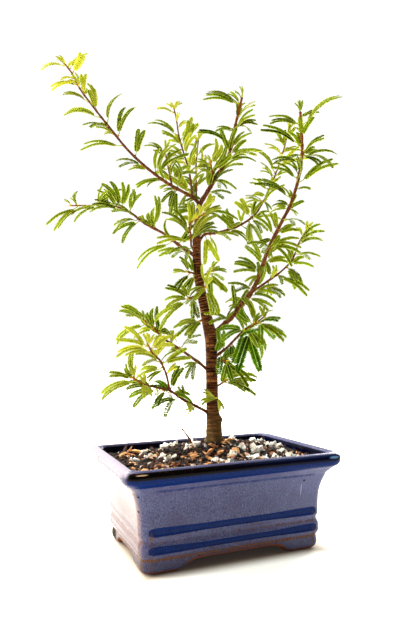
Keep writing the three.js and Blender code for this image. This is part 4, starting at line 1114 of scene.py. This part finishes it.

# %% [markdown]
# ## Leafy stems
# A powder puff's leaf forks once, into two arched straps, and each strap is a row of narrow
# leaflets set close along both sides of a rib, like a feather. The sheet below is the survey of
# the tree. The routes and the places of most leaves were read off the photograph. A fitting
# program then turned and trimmed most leaves, so that their outline covers more of the
# photograph's, and added 56 of its own where the crown was still open. The imported solids have
# the same stems, and nearly the same leaves as the first ones of each list.
#
# A stem's first line has its name, its radius at the base and the tip, how fresh its leaves are
# there (below 0 is a deep green and above 1 a yellow one), and how broad they are against the
# usual. Then comes its route, point by point: across, away and up. After the first stroke come
# its leaves: place along the stem, bearing as the viewer sees it, lean away from the viewer,
# length, the angle of the fork and the roll of the face. A second stroke leads to small new
# leaves: place, bearing and length. Lengths are in millimetres and angles in degrees.

# %% The survey of stems and leaves
SURVEY = """
leader 2.8 1.1 .1 .3 1
    -12 0 152, -12 1 164, -11 2 174, -9 2 183, -2 3 195, 6 5 208, 12 6 218, 17 8 232, 20 9 248,
    26 10 272
    / .14 40 -38 20 32 .33, .2 193 -7 21 17 .15, .29 192 24 16 29 -.15, .34 337 -30 19 36 -.15,
      .43 348 57 20 53 -.34, .48 22 -14 20 36 .02, .58 18 37 27 30 .08, .6 347 -44 33 14 -.35,
      .66 46 8 20 31 -.43, .7 160 -1 29 12 -.06, .78 166 38 19 27 -.21, .8 33 -24 19 39 .43,
      .82 357 47 19 12 .07, .86 30 -30 19 28 -.62, .96 137 -4 13 17 -.49, .96 163 11 31 18 -.51,
      .2 167 0 18 29 .2, .22 335 0 31 34 -.15, .29 180 0 15 34 -.2, .34 75 0 26 24 -.34,
      .37 45 0 21 40 -.68, .43 330 0 12 34 -.55, .62 30 28 26 40 .53, .62 90 0 21 40 -.27,
      .78 175 0 15 34 .2, .8 15 0 16 15 .2, .82 7 0 17 34 .2, .86 90 28 21 24 1.13, .96 160 0 29 15 .2
    / .93 70 10, 1 100 9, 1 150 8, .5 110 10, .74 80 10

upper_left_branch 1.6 .6 .1 1.1 .95
    -9 2 183, -16 -4 188, -33 -11 196, -49 -17 207, -63 -21 220, -75 -24 235, -85 -25 248, -96 -27 263,
    -102 -28 275, -107 -28 282
    / .15 93 -32 20 24 .78, .16 263 9 21 19 -.17, .22 98 -48 19 12 -.82, .25 197 -5 20 16 -.24,
      .29 63 14 29 20 -.71, .29 83 -3 19 13 -1.01, .36 183 -20 20 39 -.02, .42 78 3 22 14 .13,
      .5 180 4 32 24 -.1, .55 70 7 26 25 -.26, .62 195 -37 19 34 -.27, .64 67 6 25 24 -.92,
      .68 171 7 28 18 -.17, .72 104 7 23 11 1.15, .78 168 -15 19 16 .55, .82 103 49 19 8 .66,
      .9 197 -4 19 24 .38, .94 68 8 18 12 1.08, 1 192 -4 18 25 .12, .1 250 0 11 24 -.2,
      .15 185 0 11 24 .2, .16 237 0 15 34 .2, .2 200 0 8 24 .55, .24 195 0 13 40 .18,
      .29 37 0 28 29 -.15, .33 165 28 17 24 -.29, .57 178 0 8 16 -.2, .58 150 0 13 40 -.21,
      .62 180 0 13 34 -.2, .72 103 0 17 15 -.15, .82 93 0 16 15 -.15, .88 165 28 17 40 -.29,
      .92 185 0 10 29 -.2, .97 60 28 21 24 -.7, 1 140 0 8 11 -.15
    / .57 170 8, .2 185 10, 1 125 9, .86 120 11, .98 70 9

left_back_shoot 1.1 .6 .35 .7 1
    -15 -3 187, -16 8 201, -18 16 216, -22 21 231, -26 24 247, -28 26 262, -30 27 272
    / .38 64 -33 19 19 -.13, .44 160 45 20 34 .21, .52 62 -28 19 20 .23, .62 67 -7 21 18 .74,
      .64 153 -28 19 16 .93, .68 54 6 22 23 1.1, .73 152 3 27 27 .18, .96 165 0 15 14 0,
      .06 135 0 26 24 -.84, .2 45 0 12 20 .15, .52 152 0 15 34 -.55, .65 135 28 13 40 -.81,
      1 35 0 8 11 .2
    / .86 85 8, 1 60 9, 1 120 9, .8 40 11, .3 100 10

inner_back_shoot 1 .6 .35 .6 1
    -10 2 179, -12 14 193, -12 20 208, -12 24 222, -10 27 244
    / .6 63 -46 19 32 .57, .66 110 41 20 32 -.73, .78 84 -16 15 11 -.85, .81 44 23 20 16 -.43,
      .26 120 28 21 40 .66, .26 145 0 10 20 -.2, .4 50 0 12 24 .55, .44 160 0 14 34 -.15
    / .26 160 9, .98 110 8, 1 70 9, .9 140 9

left_inner_shoot .9 .6 .1 .3 1
    -30 -10 194, -32 -6 204, -34 -1 216, -36 3 226
    / .22 25 12 20 37 .27, .52 178 58 19 11 .14, .58 11 -44 21 25 -.35, .85 35 62 20 28 .16,
      1 155 8 17 35 .2, .26 75 0 13 40 -1.01, .29 150 0 9 24 -.2, .82 138 0 12 29 -.2
    / 1 85 9, .7 60 9

inner_front_shoot .9 .6 .1 .3 1
    3 4 204, 1 -2 207, 0 -7 212
    / .6 41 -38 21 22 .89, .88 167 52 20 44 .02, .97 58 -59 23 22 .71, .5 170 0 10 24 -.2,
      .88 155 0 12 34 .2
    / .5 170 10, 1 110 8

right_back_branch 1.4 .6 .35 .5 .9
    -11 0 152, -6 6 160, 3 11 162, 19 19 168, 31 26 176, 38 29 183, 46 33 197, 55 36 217, 63 39 240,
    68 40 257
    / .08 283 10 23 34 -.25, .11 279 48 21 38 0, .14 337 -38 21 29 -.04, .22 336 24 20 27 .05,
      .28 138 -48 20 20 -1.02, .32 315 50 20 20 -.12, .38 282 -27 23 30 .04, .4 123 14 20 20 -.49,
      .4 307 -26 19 22 -.15, .47 147 46 19 34 .03, .53 178 -42 19 16 -.12, .57 145 56 20 10 -.72,
      .68 141 -47 19 26 .24, .72 126 6 26 14 .39, .85 170 -41 19 32 -.01, .86 27 43 20 41 -.24,
      .94 65 4 14 26 .45, .21 45 0 13 40 .89, .32 88 0 12 34 -.2, .38 270 0 17 15 -.55,
      .39 15 28 26 40 -.14, .39 60 28 26 24 -.38, .51 45 -28 26 40 -.35, .53 175 0 15 34 -.2,
      .54 300 0 10 24 -.2, .6 25 0 11 24 .2, .61 150 0 17 40 .16, .7 25 0 13 34 .2, .7 150 0 13 40 .19,
      .76 30 0 26 40 .62, .85 155 0 13 15 .55, .86 15 0 13 34 .55, .89 100 0 15 34 -.2
    / 1 100 9, .9 150 10, 1 40 8, .62 70 10, .78 80 9

front_shoot 1 .6 .3 .6 1
    -12 0 143, -16 -8 148, -16 -14 155, -17 -18 160, -15 -21 164, -7 -24 168
    / .22 223 -42 19 50 -.09, .38 180 -3 26 22 -.21, .42 45 -3 26 18 -.04, .46 141 3 22 17 .83,
      .58 87 -15 21 12 .29, .78 120 57 20 28 -.53, .86 46 -20 20 15 -.82, .94 25 -5 17 18 -.41,
      1 63 0 17 13 .55, .42 45 0 20 34 .15, .44 15 0 21 24 -.41, .54 137 0 25 34 .55
    / 1 110 9, .9 80 9, .7 60 10

middle_left_branch 1.7 .6 .1 .3 1
    -12 0 141, -24 5 150, -38 11 162, -54 17 172, -67 22 183, -80 26 189, -97 30 191, -117 33 192
    / .06 197 -35 20 29 -.37, .1 190 -6 21 20 .11, .16 41 17 21 32 .64, .2 208 22 37 23 .18,
      .22 100 -48 19 8 -1.21, .36 84 -7 26 13 .87, .48 220 -6 24 42 .08, .49 205 -29 22 17 -.23,
      .58 75 -27 19 9 .86, .64 81 1 22 20 .75, .67 132 6 22 26 .65, .8 206 -4 25 33 -.02,
      .82 53 36 29 28 -.38, .95 222 -15 31 25 .09, .97 86 -5 12 29 -.92, .35 105 28 21 24 -1.03,
      .38 145 0 11 24 .2, .53 165 -28 21 40 .01, .58 68 0 17 34 -.2, .64 120 0 26 24 .21,
      .64 180 0 26 24 .15, .67 165 0 21 22 -.55, .82 60 -28 17 40 .07, .91 218 0 29 15 -.55
    / 1 150 8, .96 120 9, .44 110 10, .74 110 9

right_branch 2.4 1.1 .1 .05 1
    -2 0 80, 11 -6 91, 21 -10 102, 30 -14 114, 36 -16 128, 41 -18 142, 50 -21 160, 58 -23 175,
    64 -23 193, 68 -22 215, 68 -18 247
    / .11 180 -26 20 37 .21, .2 172 52 20 16 -.19, .22 329 -22 20 20 -.06, .26 180 -30 20 36 .07,
      .33 152 4 20 26 .23, .36 127 -22 20 24 -.49, .37 10 27 21 20 .29, .44 200 -46 20 49 .1,
      .45 326 1 22 51 -.32, .48 127 -5 21 39 .36, .49 23 31 21 22 .37, .55 322 -49 19 35 .18,
      .6 179 52 19 44 -.37, .64 156 -4 30 15 -.48, .7 30 -2 33 16 .11, .72 147 3 21 44 .43,
      .82 344 -9 25 62 -.04, .83 29 -32 19 18 -.58, .86 155 -1 33 16 -.4, .94 36 -4 37 9 -.51,
      .95 169 12 23 21 0, .98 23 29 14 17 .06, .08 60 -28 13 24 -.56, .13 75 0 21 40 .37,
      .13 310 0 13 22 -.15, .18 195 0 10 24 -.2, .23 350 0 20 34 -.2, .32 217 0 12 34 .2,
      .33 170 0 20 34 -.55, .4 45 0 17 24 .85, .43 275 0 8 20 -.2, .45 0 0 21 40 .07,
      .47 207 0 13 22 .55, .5 102 0 14 15 -.2, .59 45 0 13 40 .52, .6 320 0 8 24 -.15,
      .61 165 28 13 40 -.18, .63 105 28 13 40 .63, .68 0 0 11 16 .2, .7 90 -28 21 40 .71,
      .74 133 0 13 29 -.15, .79 180 0 21 24 -.07, .82 30 28 17 24 .3, .82 198 0 11 24 .15,
      .82 330 0 17 24 -.24, .84 105 28 21 24 .2, .89 75 0 17 40 -.16, .95 150 28 26 24 .42,
      .98 20 0 14 22 .2
    / .15 50 10, 1 80 9, 1 120 8, .75 80 10, .9 100 9, .3 70 10

right_side_shoot 1.1 .6 .1 .3 1.1
    28 -13 111, 42 -3 121, 53 4 129, 63 8 139, 69 11 153, 75 13 163
    / .18 324 -25 19 21 .32, .32 114 26 21 22 .6, .4 329 1 28 17 -.15, .41 304 -39 12 34 -.22,
      .55 297 -39 20 15 .34, .59 10 26 19 50 .07, .72 337 -43 20 40 .22, .83 20 25 20 39 -.2,
      .84 30 -19 22 36 -.57, .06 0 -28 17 40 -.2, .06 75 0 21 24 .76, .26 275 0 11 24 .2,
      .38 95 0 8 24 -.2, .55 300 0 19 29 -.15, .65 105 28 13 40 .54
    / 1 70 10, 1 20 10, .6 80 11, .93 120 9, .3 60 10

low_left_upper_branch 1.5 .6 .1 .3 1
    -3 0 52, -12 -4 60, -27 -7 71, -39 -8 79, -44 -8 85, -52 -8 92
    / .22 248 -42 19 18 -.14, .46 208 45 20 53 .01, .48 23 -37 21 28 0, .8 342 57 20 40 .23,
      .85 99 -48 19 22 -.28, .86 197 40 20 37 -.09, .96 211 6 28 14 -.35, .98 150 1 21 24 -.04,
      1 154 -52 24 27 .37, .2 195 0 11 24 .2, .57 105 28 13 24 1.07, .71 120 28 26 40 -.82
    / .66 220 10, 1 110 8, .6 70 11

low_left_lower_branch 1.5 .6 -.15 .3 1.15
    -4 0 21, -15 -8 28, -24 -12 33, -33 -17 40, -40 -21 42, -50 -26 45, -58 -30 50
    / .44 217 -28 20 48 -.36, .54 338 37 19 28 .22, .64 257 65 21 39 .23, .7 207 -5 22 33 -.16,
      .74 177 1 20 22 -.09, .96 205 5 28 14 -.09, .98 96 -1 18 10 -.74, 1 119 -44 13 20 -1.03,
      1 167 -17 17 16 -.19, .34 300 0 8 11 -.2, .36 105 0 11 24 .2, .53 165 28 21 40 .47,
      .56 65 0 19 15 -.2, .61 235 0 13 22 -.15
    / .2 210 9, .34 300 10, 1 80 9, .85 110 11, .88 290 12

low_left_shoot 1 .6 .35 .8 1
    -33 -17 40, -35 -23 52, -39 -27 62, -44 -29 67, -47 -30 73
    / .5 204 44 35 26 -.35, .57 22 7 21 27 .65, .61 174 -42 19 40 .17, .69 160 54 21 41 .29,
      .92 50 0 14 19 -.36, .94 304 53 8 43 -.2, .96 152 -4 23 42 -.11, .99 193 19 26 14 .05,
      .35 43 0 10 20 -.15, .46 212 0 14 22 -.55, .87 180 28 21 24 .19, .92 20 0 17 34 .55,
      1 105 0 9 24 .2
    / .35 35 10, 1 105 9, .75 60 11, 1 60 9

low_right_branch 1.4 .6 -.3 0 1.35
    -2 0 62, 9 -6 70, 13 -10 74, 22 -17 83, 29 -21 87, 36 -24 92
    / .64 275 5 22 53 -.03, .7 193 4 19 45 .21, .72 307 -35 19 16 -.25, .76 268 -2 32 34 -.16,
      .82 134 -45 19 17 -.89, .86 112 10 21 10 .52, .88 7 -36 19 14 .2, .9 328 -6 23 16 .13,
      .93 290 -7 16 46 -.27, 1 36 43 12 14 -.97, .07 75 0 21 24 1.07, .16 285 -28 17 40 -.13,
      .23 103 0 12 20 -.15, .4 280 0 11 24 -.2, .49 30 -28 21 24 -.37, .75 300 28 26 24 -.13
    / .57 310 9, 1 90 9, .8 50 11

low_right_spur 1 .7 -.3 0 1.25
    -2 0 58, 5 -8 61, 9 -13 61
    / .92 317 1 25 20 .36, 1 270 1 15 32 -.11, .69 45 0 11 24 .2
    / .7 20 12

lowest_spur 1 .7 -.3 .05 1.2
    -2 0 40, 4 -4 43, 8 -6 46
    / .88 345 -21 19 26 .2, .96 14 33 26 37 -.11, 1 347 7 24 42 .14
    / .7 60 9

left_upper_spur 1 .7 .1 .3 1
    -11 0 127, -16 -6 128, -19 -10 128
    / .74 228 -14 19 16 -.01, .31 120 0 17 40 .46, .31 240 0 17 24 .13, .87 115 0 11 20 -.2,
      1 170 0 11 11 -.2
    / 1 170 11

left_lower_spur 1 .7 .1 .3 1
    -9 0 112, -14 -7 110, -18 -11 108
    / .73 277 -36 21 14 -.13, .94 145 24 18 40 .42, 1 219 6 32 22 .08, .27 225 -28 13 24 -.13,
      .94 152 0 20 15 .15, .94 193 0 19 34 -.15

right_upper_spur 1 .7 .1 .3 1
    -11 0 126, -6 5 128, -1 9 131
    / .66 297 10 20 51 -.3, .84 309 71 20 52 -.3, 1 0 1 12 20 -.14, .84 307 0 17 15 .55,
      .87 30 0 9 11 .2
    / 1 60 10

front_upper_spur 1 .7 .1 .3 1
    -10 0 117, -7 -9 117, -5 -13 116
    / 1 203 -4 14 23 -.06, 1 287 -16 23 14 -.02, 1 90 -28 17 40 -.38, 1 223 0 13 15 .2
    / .8 60 9

front_middle_spur 1 .7 .1 .3 1
    -6 0 94, -8 -8 92, -10 -12 91
    / .75 227 -40 19 14 -.05, .9 229 -19 17 14 .04, 1 190 0 16 18 -.1, .92 202 0 21 34 -.2

front_lower_spur 1 .7 .1 .3 1
    -2 0 32, 1 -9 33, 2 -12 34
    / 1 196 5 13 22 .06, .6 145 0 11 20 .2
    / .6 145 10, 1 290 10
"""


def read_survey(sheet):
    """The survey as tuples of numbers, by stem."""
    stems = {}
    for block in sheet.strip().split("\n\n"):
        title, *lines = block.split("\n")
        name, *numbers = title.split()
        thick, thin, old, fresh, broad = map(float, numbers)
        route, leaves, *new = ([tuple(map(float, row.split())) for row in part.split(",")]
                               for part in " ".join(lines).split("/"))
        stems[name] = {"thick": thick, "thin": thin, "old": old, "fresh": fresh, "broad": broad,
                       "route": route, "leaves": leaves, "new": new[0] if new else []}
    return stems


STEMS = read_survey(SURVEY)
print("stems:", len(STEMS), "leaves:", sum(len(stem["leaves"]) for stem in STEMS.values()),
      "new leaves:", sum(len(stem["new"]) for stem in STEMS.values()))

# %% [markdown]
# One leaflet is modelled: a four-sided spindle, cut twice along its length, drawn in to a point
# at both ends and pressed flat, with its upper line sunk a little so that it has a crease. That
# is only twelve faces, because it is repeated more than eighteen thousand times.

# %% One leaflet
# Where a leaflet is cut, where the cuts are moved to, and its width at the second one
CUTS, WIDEST, TIP_WIDTH = (1 / 3, 2 / 3), (0.15, 0.72), 0.76


def make_leaflet():
    """A unit leaflet: 1 long, 1 wide, as arrays of points and faces."""
    put_down()
    bpy.ops.mesh.primitive_cylinder_add(vertices=4, radius=0.5, depth=1, location=(0, 0, 0.5))
    leaflet = bpy.context.object
    settle(leaflet, "one leaflet")
    open_mesh(leaflet, "EDGE")
    choose(leaflet, lambda edge: abs(edge.verts[0].co.z - edge.verts[1].co.z) > 0.5, "EDGE")
    bpy.ops.mesh.subdivide(number_cuts=2)
    for end in (0, 1):
        choose(leaflet, lambda point: abs(point.co.z - end) < 0.01, "VERT")
        bpy.ops.mesh.merge(type="CENTER")
    put_down()
    points = points_of(leaflet)
    faces = [tuple(face.vertices) for face in leaflet.data.polygons]
    bpy.data.objects.remove(leaflet)
    long, wide, deep = points[:, 2], points[:, 0], points[:, 1]
    long = np.select([np.isclose(long, cut, atol=0.05) for cut in CUTS], WIDEST, long)
    wide = wide * np.where(long > 0.5, TIP_WIDTH, 1)
    return np.column_stack([long, wide, deep]), faces


LEAFLET, LEAFLET_FACES = make_leaflet()
print("one leaflet:", len(LEAFLET), "points", len(LEAFLET_FACES), "faces")

# %% [markdown]
# A strap is a row of leaflets on each side of its rib, longest in the middle, leaning forward
# more and more towards the tip, each tilted a little so that it overlaps the next like a
# shingle. The strap is worked out flat and then laid on its arch, and the two rows may be
# folded up or down a little, as they are on a living leaf.

# %% One strap of leaflets
FACING = np.array([0.06, -0.72, 0.78])
STALK_SHARE, ARCH, HALF_WIDTH, WIDTH_SHARE = 0.16, 0.14, 2.6, 0.145
PAIR_SPACING, LEAFLET_DEPTH, RIB_CLEAR = 1.25, 0.22, 0.12
LEAFLET_ANGLE, TIP_LEAN, LEAFLET_TILT, DROOP = 70, 34, 16, 0.05


def unit(vector):
    return vector / np.linalg.norm(vector)


def turned(first, second, angle):
    """Two coordinates turned by an angle in radians."""
    return (first * math.cos(angle) - second * math.sin(angle),
            first * math.sin(angle) + second * math.cos(angle))


def flat_strap(blade, width, fold, close, draw):
    """Leaflets of a strap before it is arched: along, across and up in mm, with their notes."""
    pairs = max(6, int(round(blade / PAIR_SPACING)))
    ridge = LEAFLET[:, 2]
    under = (ridge < -0.1) * 1.0 + (np.abs(ridge) < 0.1) * 0.3
    points, notes = [], []
    for side in (-1, 1):
        row_tone = draw.uniform(-0.25, 0.25)
        for number in range(pairs):
            t = 0.05 + 0.92 * (number + 0.12 * side + 0.5) / pairs
            fullness = min(1, 0.55 + 3.2 * t) * (1 - 0.42 * smoothly(0.8, 1.02, t))
            long = width * fullness * draw.uniform(0.9, 1.06) * 1.04
            wide = close * blade / pairs * draw.uniform(0.85, 1.1)
            ahead = math.radians(LEAFLET_ANGLE - TIP_LEAN * smoothly(0.72, 1.0, t) + draw.uniform(-3, 3))
            tilt = math.radians(LEAFLET_TILT + draw.uniform(-7, 7))
            raised = math.radians(fold + draw.uniform(-5, 5))
            x, y, z = (LEAFLET * (long, wide, LEAFLET_DEPTH)).T
            z = np.where(ridge > 0.1, 0.02, z) - DROOP * (x / width) ** 2 * width
            y, z = turned(y, z, tilt)
            along = x * math.cos(ahead) + y * math.sin(ahead)
            out = x * math.sin(ahead) - y * math.cos(ahead)
            out, z = turned(out, z, raised)
            points.append(np.column_stack([t * blade + along, side * (RIB_CLEAR + out), z]))
            tone = row_tone + draw.uniform(-0.16, 0.16)
            notes.append(np.column_stack([LEAFLET[:, 0], np.full(len(x), tone), under]))
    return points, notes


def lay_on_arch(leaf, half, flat):
    """Flat strap points laid on the arch of one half of a leaf."""
    t = flat[:, 0] / leaf["blade"]
    arch = leaf["blade"] * ARCH * 4 * t * (1 - t)
    return (leaf["root"] + half["along"] * flat[:, :1] + leaf["face"] * (arch + flat[:, 2])[:, None]
            + half["across"] * flat[:, 1:2])


# %% [markdown]
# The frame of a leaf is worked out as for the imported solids: where it leaves its stem, which
# way it runs, which way its face looks, and how its two halves fork.

# %% The frame of a leaf
def point_along(route, share):
    """The point at a share of a stem's length, on its surveyed route."""
    route = np.asarray(route, float)
    runs = np.linalg.norm(np.diff(route, axis=0), axis=1)
    ends = np.r_[0, np.cumsum(runs)]
    return np.array([np.interp(share * ends[-1], ends, column) for column in route.T])


def leaf_frame(route, place, bearing, lean, length, fork, roll, broad=1.0):
    turn, lean, half = (math.radians(angle) for angle in (bearing, lean, fork / 2))
    run = np.array([math.cos(turn) * math.cos(lean), math.sin(lean), math.sin(turn) * math.cos(lean)])
    face = FACING + (roll, 0, 0)
    face = unit(face - run * (face @ run))
    side = np.cross(run, face)
    stalk = length * STALK_SHARE
    start = point_along(route, place)
    blade = (length - stalk) / math.cos(half)
    halves = [{"along": run * math.cos(half) + side * hand * math.sin(half),
               "across": side * math.cos(half) - run * hand * math.sin(half)} for hand in (-1, 1)]
    return {"start": start, "root": start + run * stalk, "run": run, "face": face, "blade": blade,
            "halves": halves, "width": broad * min(HALF_WIDTH, blade * WIDTH_SHARE)}


print("a 20 mm leaf forks into straps of",
      round(leaf_frame([(0, 0, 0), (0, 0, 9)], 0.5, 0, 0, 20, 46, 0)["blade"], 1), "mm")

# %% [markdown]
# Now each stem is dressed. Its wood is a led tube that swells a little at every leaf. Its
# leaves are gathered into one piece, because a stem's hundreds of leaflets are one thing to
# handle, and every point carries its notes: how far out on its leaflet it is, how fresh its
# leaf is, its own tone, and whether it belongs to a rib or to the underside.

# %% Gather the leaves of one stem
LEAF_NOTES = ("edge", "young", "tone", "under", "rib")
RIB_RINGS = 9
THIN_TUBE = straight_tube(5, RIB_RINGS)


def same_notes(count, *values):
    return np.tile(np.array(values, float), (count, 1))


class Gathering:
    """Points, faces and notes of one growing piece."""

    def __init__(self):
        self.points, self.faces, self.notes, self.count = [], [], [], 0

    def add(self, points, faces, notes):
        self.faces.extend(tuple(corner + self.count for corner in face) for face in faces)
        self.points.append(points)
        self.notes.append(notes)
        self.count += len(points)

    def add_rib(self, path, thick, thin, young, tone):
        rows = np.column_stack([path, np.linspace(thick, thin, len(path))])
        points, faces, _, _ = lead_tube(THIN_TUBE, rows, RIB_RINGS)
        self.add(points, faces, same_notes(len(points), 0.3, young, tone, 0, 1))

    def piece(self, name):
        made = mesh_piece(name, in_frame(np.concatenate(self.points)), self.faces)
        for number, note in enumerate(LEAF_NOTES):
            note_on(made, note, np.concatenate(self.notes)[:, number])
        return made


# %% Buds and leaves
# A leaf's two rows hang down a little, or rise a little, or fold up: share, angles, closeness
HANGING, RISING, FOLDED = (0.6, (-34, -14)), (0.93, (4, 20)), (36, 50)
CLOSE, CLOSE_IF_BROAD, CLOSE_IF_FOLDED = 1.4, 1.28, 1.3


def add_bud(leaves, start, run, size, draw):
    """A small pointed bud or stipule, yellow-green to red by a draw."""
    run = unit(np.array(run) + [draw.uniform(-0.5, 0.5) for _ in range(3)])
    side = unit(np.cross(run, FACING))
    up = np.cross(side, run)
    x, y, z = (LEAFLET * (size, size * 0.42, size * 0.42)).T
    points = start + run * x[:, None] + side * y[:, None] + up * z[:, None]
    young, tone = draw.uniform(0.9, 2.0), draw.uniform(0.2, 0.8)
    leaves.add(points, LEAFLET_FACES, same_notes(len(x), 0.5, young, tone, 0, 0))


def add_leaf(leaves, leaf, young, draw):
    tone = draw.uniform(0.15, 0.85)
    close = CLOSE_IF_BROAD if leaf["width"] > 1.06 * HALF_WIDTH else CLOSE
    kind = draw.random()
    fold = draw.uniform(*(HANGING[1] if kind < HANGING[0] else RISING[1]))
    if kind > RISING[0]:
        fold, close = draw.uniform(*FOLDED), CLOSE_IF_FOLDED
    leaves.add_rib(np.array([leaf["start"], leaf["root"]]), 0.42, 0.36, young, tone)
    for half in leaf["halves"]:
        flat, notes = flat_strap(leaf["blade"], leaf["width"], fold, close, draw)
        for points, note in zip(flat, notes):
            full = same_notes(len(points), 0, young, tone, 0, 0)
            full[:, 0], full[:, 3] = note[:, 0], note[:, 2]
            full[:, 2] += note[:, 1]
            leaves.add(lay_on_arch(leaf, half, points), LEAFLET_FACES, full)
        t = np.linspace(0, 0.99, 7)[:, None] * leaf["blade"]
        spine = lay_on_arch(leaf, half, np.hstack([t, t * 0, t * 0]))
        leaves.add_rib(spine, 0.32, 0.14, young, tone)


def dress_stem(name, number):
    """All leaves and buds of one stem. The last buds sit at its tip."""
    stem = STEMS[name]
    route, old, fresh = stem["route"], stem["old"], stem["fresh"]
    draw = random.Random(100 + number)
    leaves = Gathering()
    for row in stem["leaves"]:
        leaf = leaf_frame(route, *row, stem["broad"])
        young = old + (fresh - old) * row[0] ** 3 + draw.uniform(-0.15, 0.15)
        add_leaf(leaves, leaf, young, draw)
        for _ in range(3):
            add_bud(leaves, leaf["start"], leaf["run"], draw.uniform(1.3, 2.8), draw)
    for place, bearing, length in stem["new"]:
        lean = draw.uniform(-40, 40)
        leaf = leaf_frame(route, place, bearing + draw.uniform(-8, 8), lean, length,
                          draw.uniform(18, 34), draw.uniform(-0.3, 0.3))
        add_leaf(leaves, leaf, min(1.1, fresh + draw.uniform(0, 0.4)), draw)
    for _ in range(3):
        add_bud(leaves, np.array(route[-1]), np.subtract(route[-1], route[-2]), draw.uniform(2, 3.4), draw)
    return leaves.piece(name + "_leaves")


# %% The wood of one stem
TAPER, RING_SPACING, THINNER = 1.3, 1.2, 0.16
# From which share of its length a stem's bark begins to look young
YOUNG_FROM, YOUNG_FROM_ELSEWHERE = {"leader": 0.97, "upper_left_branch": 0.8}, 0.86


def make_stem(name):
    stem = STEMS[name]
    route, thick, thin = stem["route"], stem["thick"], stem["thin"]
    last = len(route) - 1
    surveyed = [(*point, thin + (thick - thin) * (1 - index / last) ** TAPER)
                for index, point in enumerate(route)]
    length = float(np.linalg.norm(np.diff(np.array(route), axis=0), axis=1).sum())
    rings = max(12, min(100, int(length / RING_SPACING)))
    nodes = np.array([row[0] for row in stem["leaves"] + stem["new"]])

    def swell(along, angle):
        near = np.exp(-((along[:, None] / length - nodes) * length / 0.9) ** 2).max(axis=1)
        collar = 0.35 * smoothly(thick * 3.2, thick * 1.2, along)
        rough = [noise.noise(Vector((math.cos(a), math.sin(a), s * 0.45))) for s, a in zip(along, angle)]
        return 0.22 * near + collar + 0.12 * np.array(rough) - THINNER

    wood, along = wooden_piece(name + "_wood", 16 if thick > 1.9 else 10, surveyed, rings, swell)
    start = YOUNG_FROM.get(name, YOUNG_FROM_ELSEWHERE)
    note_on(wood, "young", smoothly(start - 0.45, 1.05, along / length))
    return wood


# %% [markdown]
# A leaf is brighter along its ribs, and a fresh one is nearly yellow. The outer ends of the
# leaflets are lighter and yellower, partly a paler margin of their own and partly a painted
# glow of light shining through them; nearer the rib the leaflet stays darker, as painted shade.
# The blade's colour goes from a dark to a middle green by tone. By freshness it turns to a deep
# green below 0, through yellow-green up to 1, and red on the buds above that, and every leaflet
# has a fine grain. The underside is paler and duller. A little light passes through, which is
# what makes leaves glow against a window.

# %% The leaf material
LIGHT_PASSED = (0.6, 1.0, 0.25)


def make_leaf_green():
    green = Finish("feathery leaf green", roughness=0.75, specular_ior_level=0.03,
                   subsurface_weight=0.15, subsurface_scale=0.001, subsurface_radius=LIGHT_PASSED)
    edge, young, tone = green.noted("edge"), green.noted("young"), green.noted("tone")
    grain = green.mottle(green.place(), 1.1, 3, 0.6)
    shade = (tone + (grain - 0.5) * 0.5).kept()

    def shaded(dark, light):
        return green.mix(shade, colour(*dark), colour(*light))

    deep = young.band(0.05, -0.2)
    old = green.mix(deep, shaded((10, 22, 1), (120, 134, 9)), shaded((12, 36, 3), (78, 116, 12)))
    # Leaflet ends: partly a paler margin, partly a painted glow of light shining through; the darker part
    # near the rib is painted shade
    rim = green.mix(deep, shaded((198, 212, 58), (255, 255, 132)), shaded((116, 150, 30), (200, 220, 80)))
    old = green.mix(edge.band(0.6, 0.95) * 0.9, old, rim)
    fresh = shaded((134, 138, 12), (220, 218, 52))
    # The same paler margin and painted glow at the ends of a fresh leaf's leaflets
    fresh = green.mix(edge.band(0.5, 0.95) * 0.55, fresh, colour(250, 250, 140))
    base = green.mix(young.band(0.1, 0.95), old, fresh)
    base = green.mix(green.noted("under") * 0.4, base, colour(92, 104, 18))
    spine = green.mix(young.band(0.2, 1.0), colour(146, 158, 56), colour(214, 208, 90))
    base = green.mix(green.noted("rib"), base, spine)
    base = green.mix(young.band(1.25, 1.7), base, shaded((150, 70, 26), (196, 132, 52)))
    return green.feed(base_color=base, normal=green.raise_by(grain, 0.00012, 0.5))


leaf_green = make_leaf_green()
total = 0
for number, name in enumerate(STEMS):
    leaves, wood = dress_stem(name, number), make_stem(name)
    wear(leaves, leaf_green)
    wear(wood, twig_bark)
    for piece, slot in ((leaves, "leaf_green"), (wood, "bark")):
        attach(piece, "root")
        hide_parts(name)
    total += len(leaves.data.polygons)
print("leafy stems:", len(STEMS), "leaf faces:", total)
